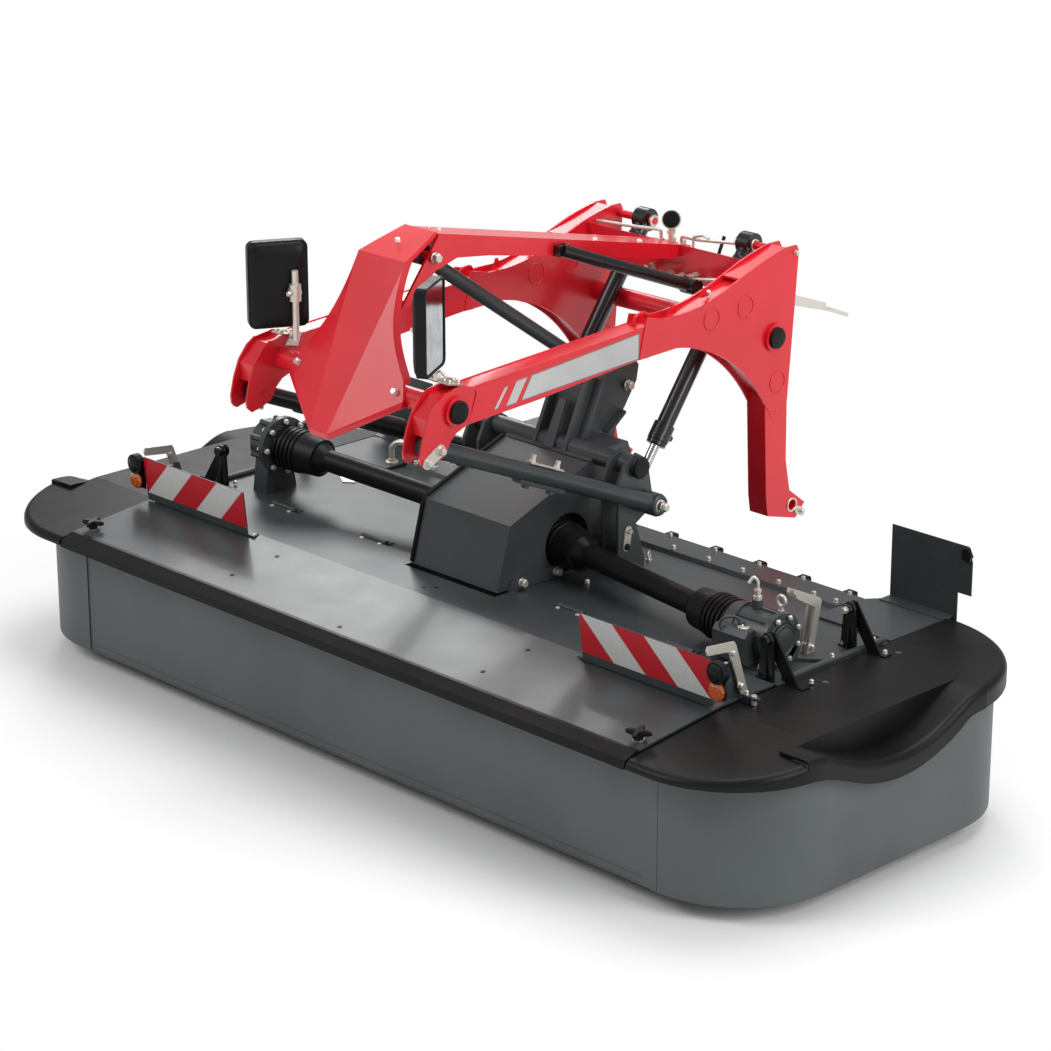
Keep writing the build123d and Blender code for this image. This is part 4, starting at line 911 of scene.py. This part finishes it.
# Floor: it takes the machine's shadow, and away from the machine it is plain white to the eye
bpy.ops.mesh.primitive_plane_add(size=60)
floor = bpy.context.object
floor.name = "floor"
floor_paint, tree, main, where = start_material("pale_studio_floor", Roughness=0.9, Specular_IOR_Level=0.1)
cloud = add_node(tree, "ShaderNodeTexNoise", None, {"Vector": where, "Scale": 1 / (3000 * MM), "Detail": 1.0})
floor_tone = add_node(tree, "ShaderNodeValToRGB", {
    "color_ramp.elements.0.color": linear("#F4F4F4"), "color_ramp.elements.1.color": linear("#F8F8F8"),
}, {"Fac": cloud.outputs["Fac"]})
tree.links.new(floor_tone.outputs["Color"], main.inputs["Base Color"])
flat = add_node(tree, "ShaderNodeVectorMath", {
    "operation": "MULTIPLY", "inputs.1.default_value": (0.8, 1.0, 0.0)}, {0: where})
reach = add_node(tree, "ShaderNodeVectorMath", {"operation": "LENGTH"}, {0: flat.outputs["Vector"]})
fade = add_node(tree, "ShaderNodeMapRange", {"interpolation_type": "SMOOTHSTEP"}, {
    "Value": reach.outputs["Value"], "From Min": 1.15, "From Max": 2.1, "To Min": 0.0, "To Max": 1.0})
rays = add_node(tree, "ShaderNodeLightPath")
seen = add_node(tree, "ShaderNodeMath", {"operation": "MAXIMUM"}, {
    0: rays.outputs["Is Camera Ray"], 1: rays.outputs["Is Glossy Ray"]})
share = add_node(tree, "ShaderNodeMath", {"operation": "MULTIPLY"}, {
    0: fade.outputs["Result"], 1: seen.outputs["Value"]})
paper = add_node(tree, "ShaderNodeEmission", None, {"Color": linear("#FFFFFF"), "Strength": 1.0})
floor_mix = add_node(tree, "ShaderNodeMixShader", None, {0: share.outputs["Value"]})
tree.links.new(main.outputs["BSDF"], floor_mix.inputs[1])
tree.links.new(paper.outputs["Emission"], floor_mix.inputs[2])
tree.links.new(floor_mix.outputs["Shader"], tree.nodes["Material Output"].inputs["Surface"])
floor.data.materials.append(floor_paint)

# Light: a plain white room, seen white by the camera, and four softboxes
world = bpy.data.worlds.new("studio")
bpy.context.scene.world = world
world.use_nodes = True
tree = world.node_tree
background = tree.nodes["Background"]
background.inputs["Color"].default_value = linear("#FFFFFF")
background.inputs["Strength"].default_value = 0.36
rays = add_node(tree, "ShaderNodeLightPath")
white = add_node(tree, "ShaderNodeBackground", None, {"Color": linear("#FFFFFF"), "Strength": 1.0})
mix = add_node(tree, "ShaderNodeMixShader", None, {0: rays.outputs["Is Camera Ray"]})
tree.links.new(background.outputs["Background"], mix.inputs[1])
tree.links.new(white.outputs["Background"], mix.inputs[2])
tree.links.new(mix.outputs["Shader"], tree.nodes["World Output"].inputs["Surface"])


def soft_light(name, place, size, watts, aim=(0, 0, 0.5)):
    """A square softbox aimed at the machine."""
    data = bpy.data.lights.new(name, "AREA")
    data.size = size
    data.energy = watts
    lamp = bpy.data.objects.new(name, data)
    bpy.context.collection.objects.link(lamp)
    lamp.location = place
    lamp.rotation_euler = (Vector(aim) - Vector(place)).to_track_quat("-Z", "Y").to_euler()


soft_light("key_softbox", (-3.5, -6.5, 6.5), 4.0, 270)
soft_light("side_softbox", (7.5, 0.5, 4.5), 4.0, 320)
soft_light("top_softbox", (0.5, 1.5, 7.0), 5.0, 260)
soft_light("rear_softbox", (-6.8, 4.8, 5.1), 2.6, 170, (-0.5, -0.6, 0.45))

# Camera, at the viewing angle of the photograph
CAMERA_TARGET = Vector((0, -0.090, 0.528))
CAMERA_BACK = Vector((0.6717, -0.6617, 0.3333))
CAMERA_DISTANCE = 9.371
camera_data = bpy.data.cameras.new("camera")
camera_data.sensor_width = 36
camera_data.lens = 112.8
camera_data.shift_x, camera_data.shift_y = -0.0070, 0.0063
camera = bpy.data.objects.new("camera", camera_data)
bpy.context.collection.objects.link(camera)
camera.location = CAMERA_TARGET + CAMERA_BACK * CAMERA_DISTANCE
camera.rotation_euler = (-CAMERA_BACK).to_track_quat("-Z", "Y").to_euler()
bpy.context.scene.camera = camera
bpy.context.scene.view_settings.view_transform = "Standard"
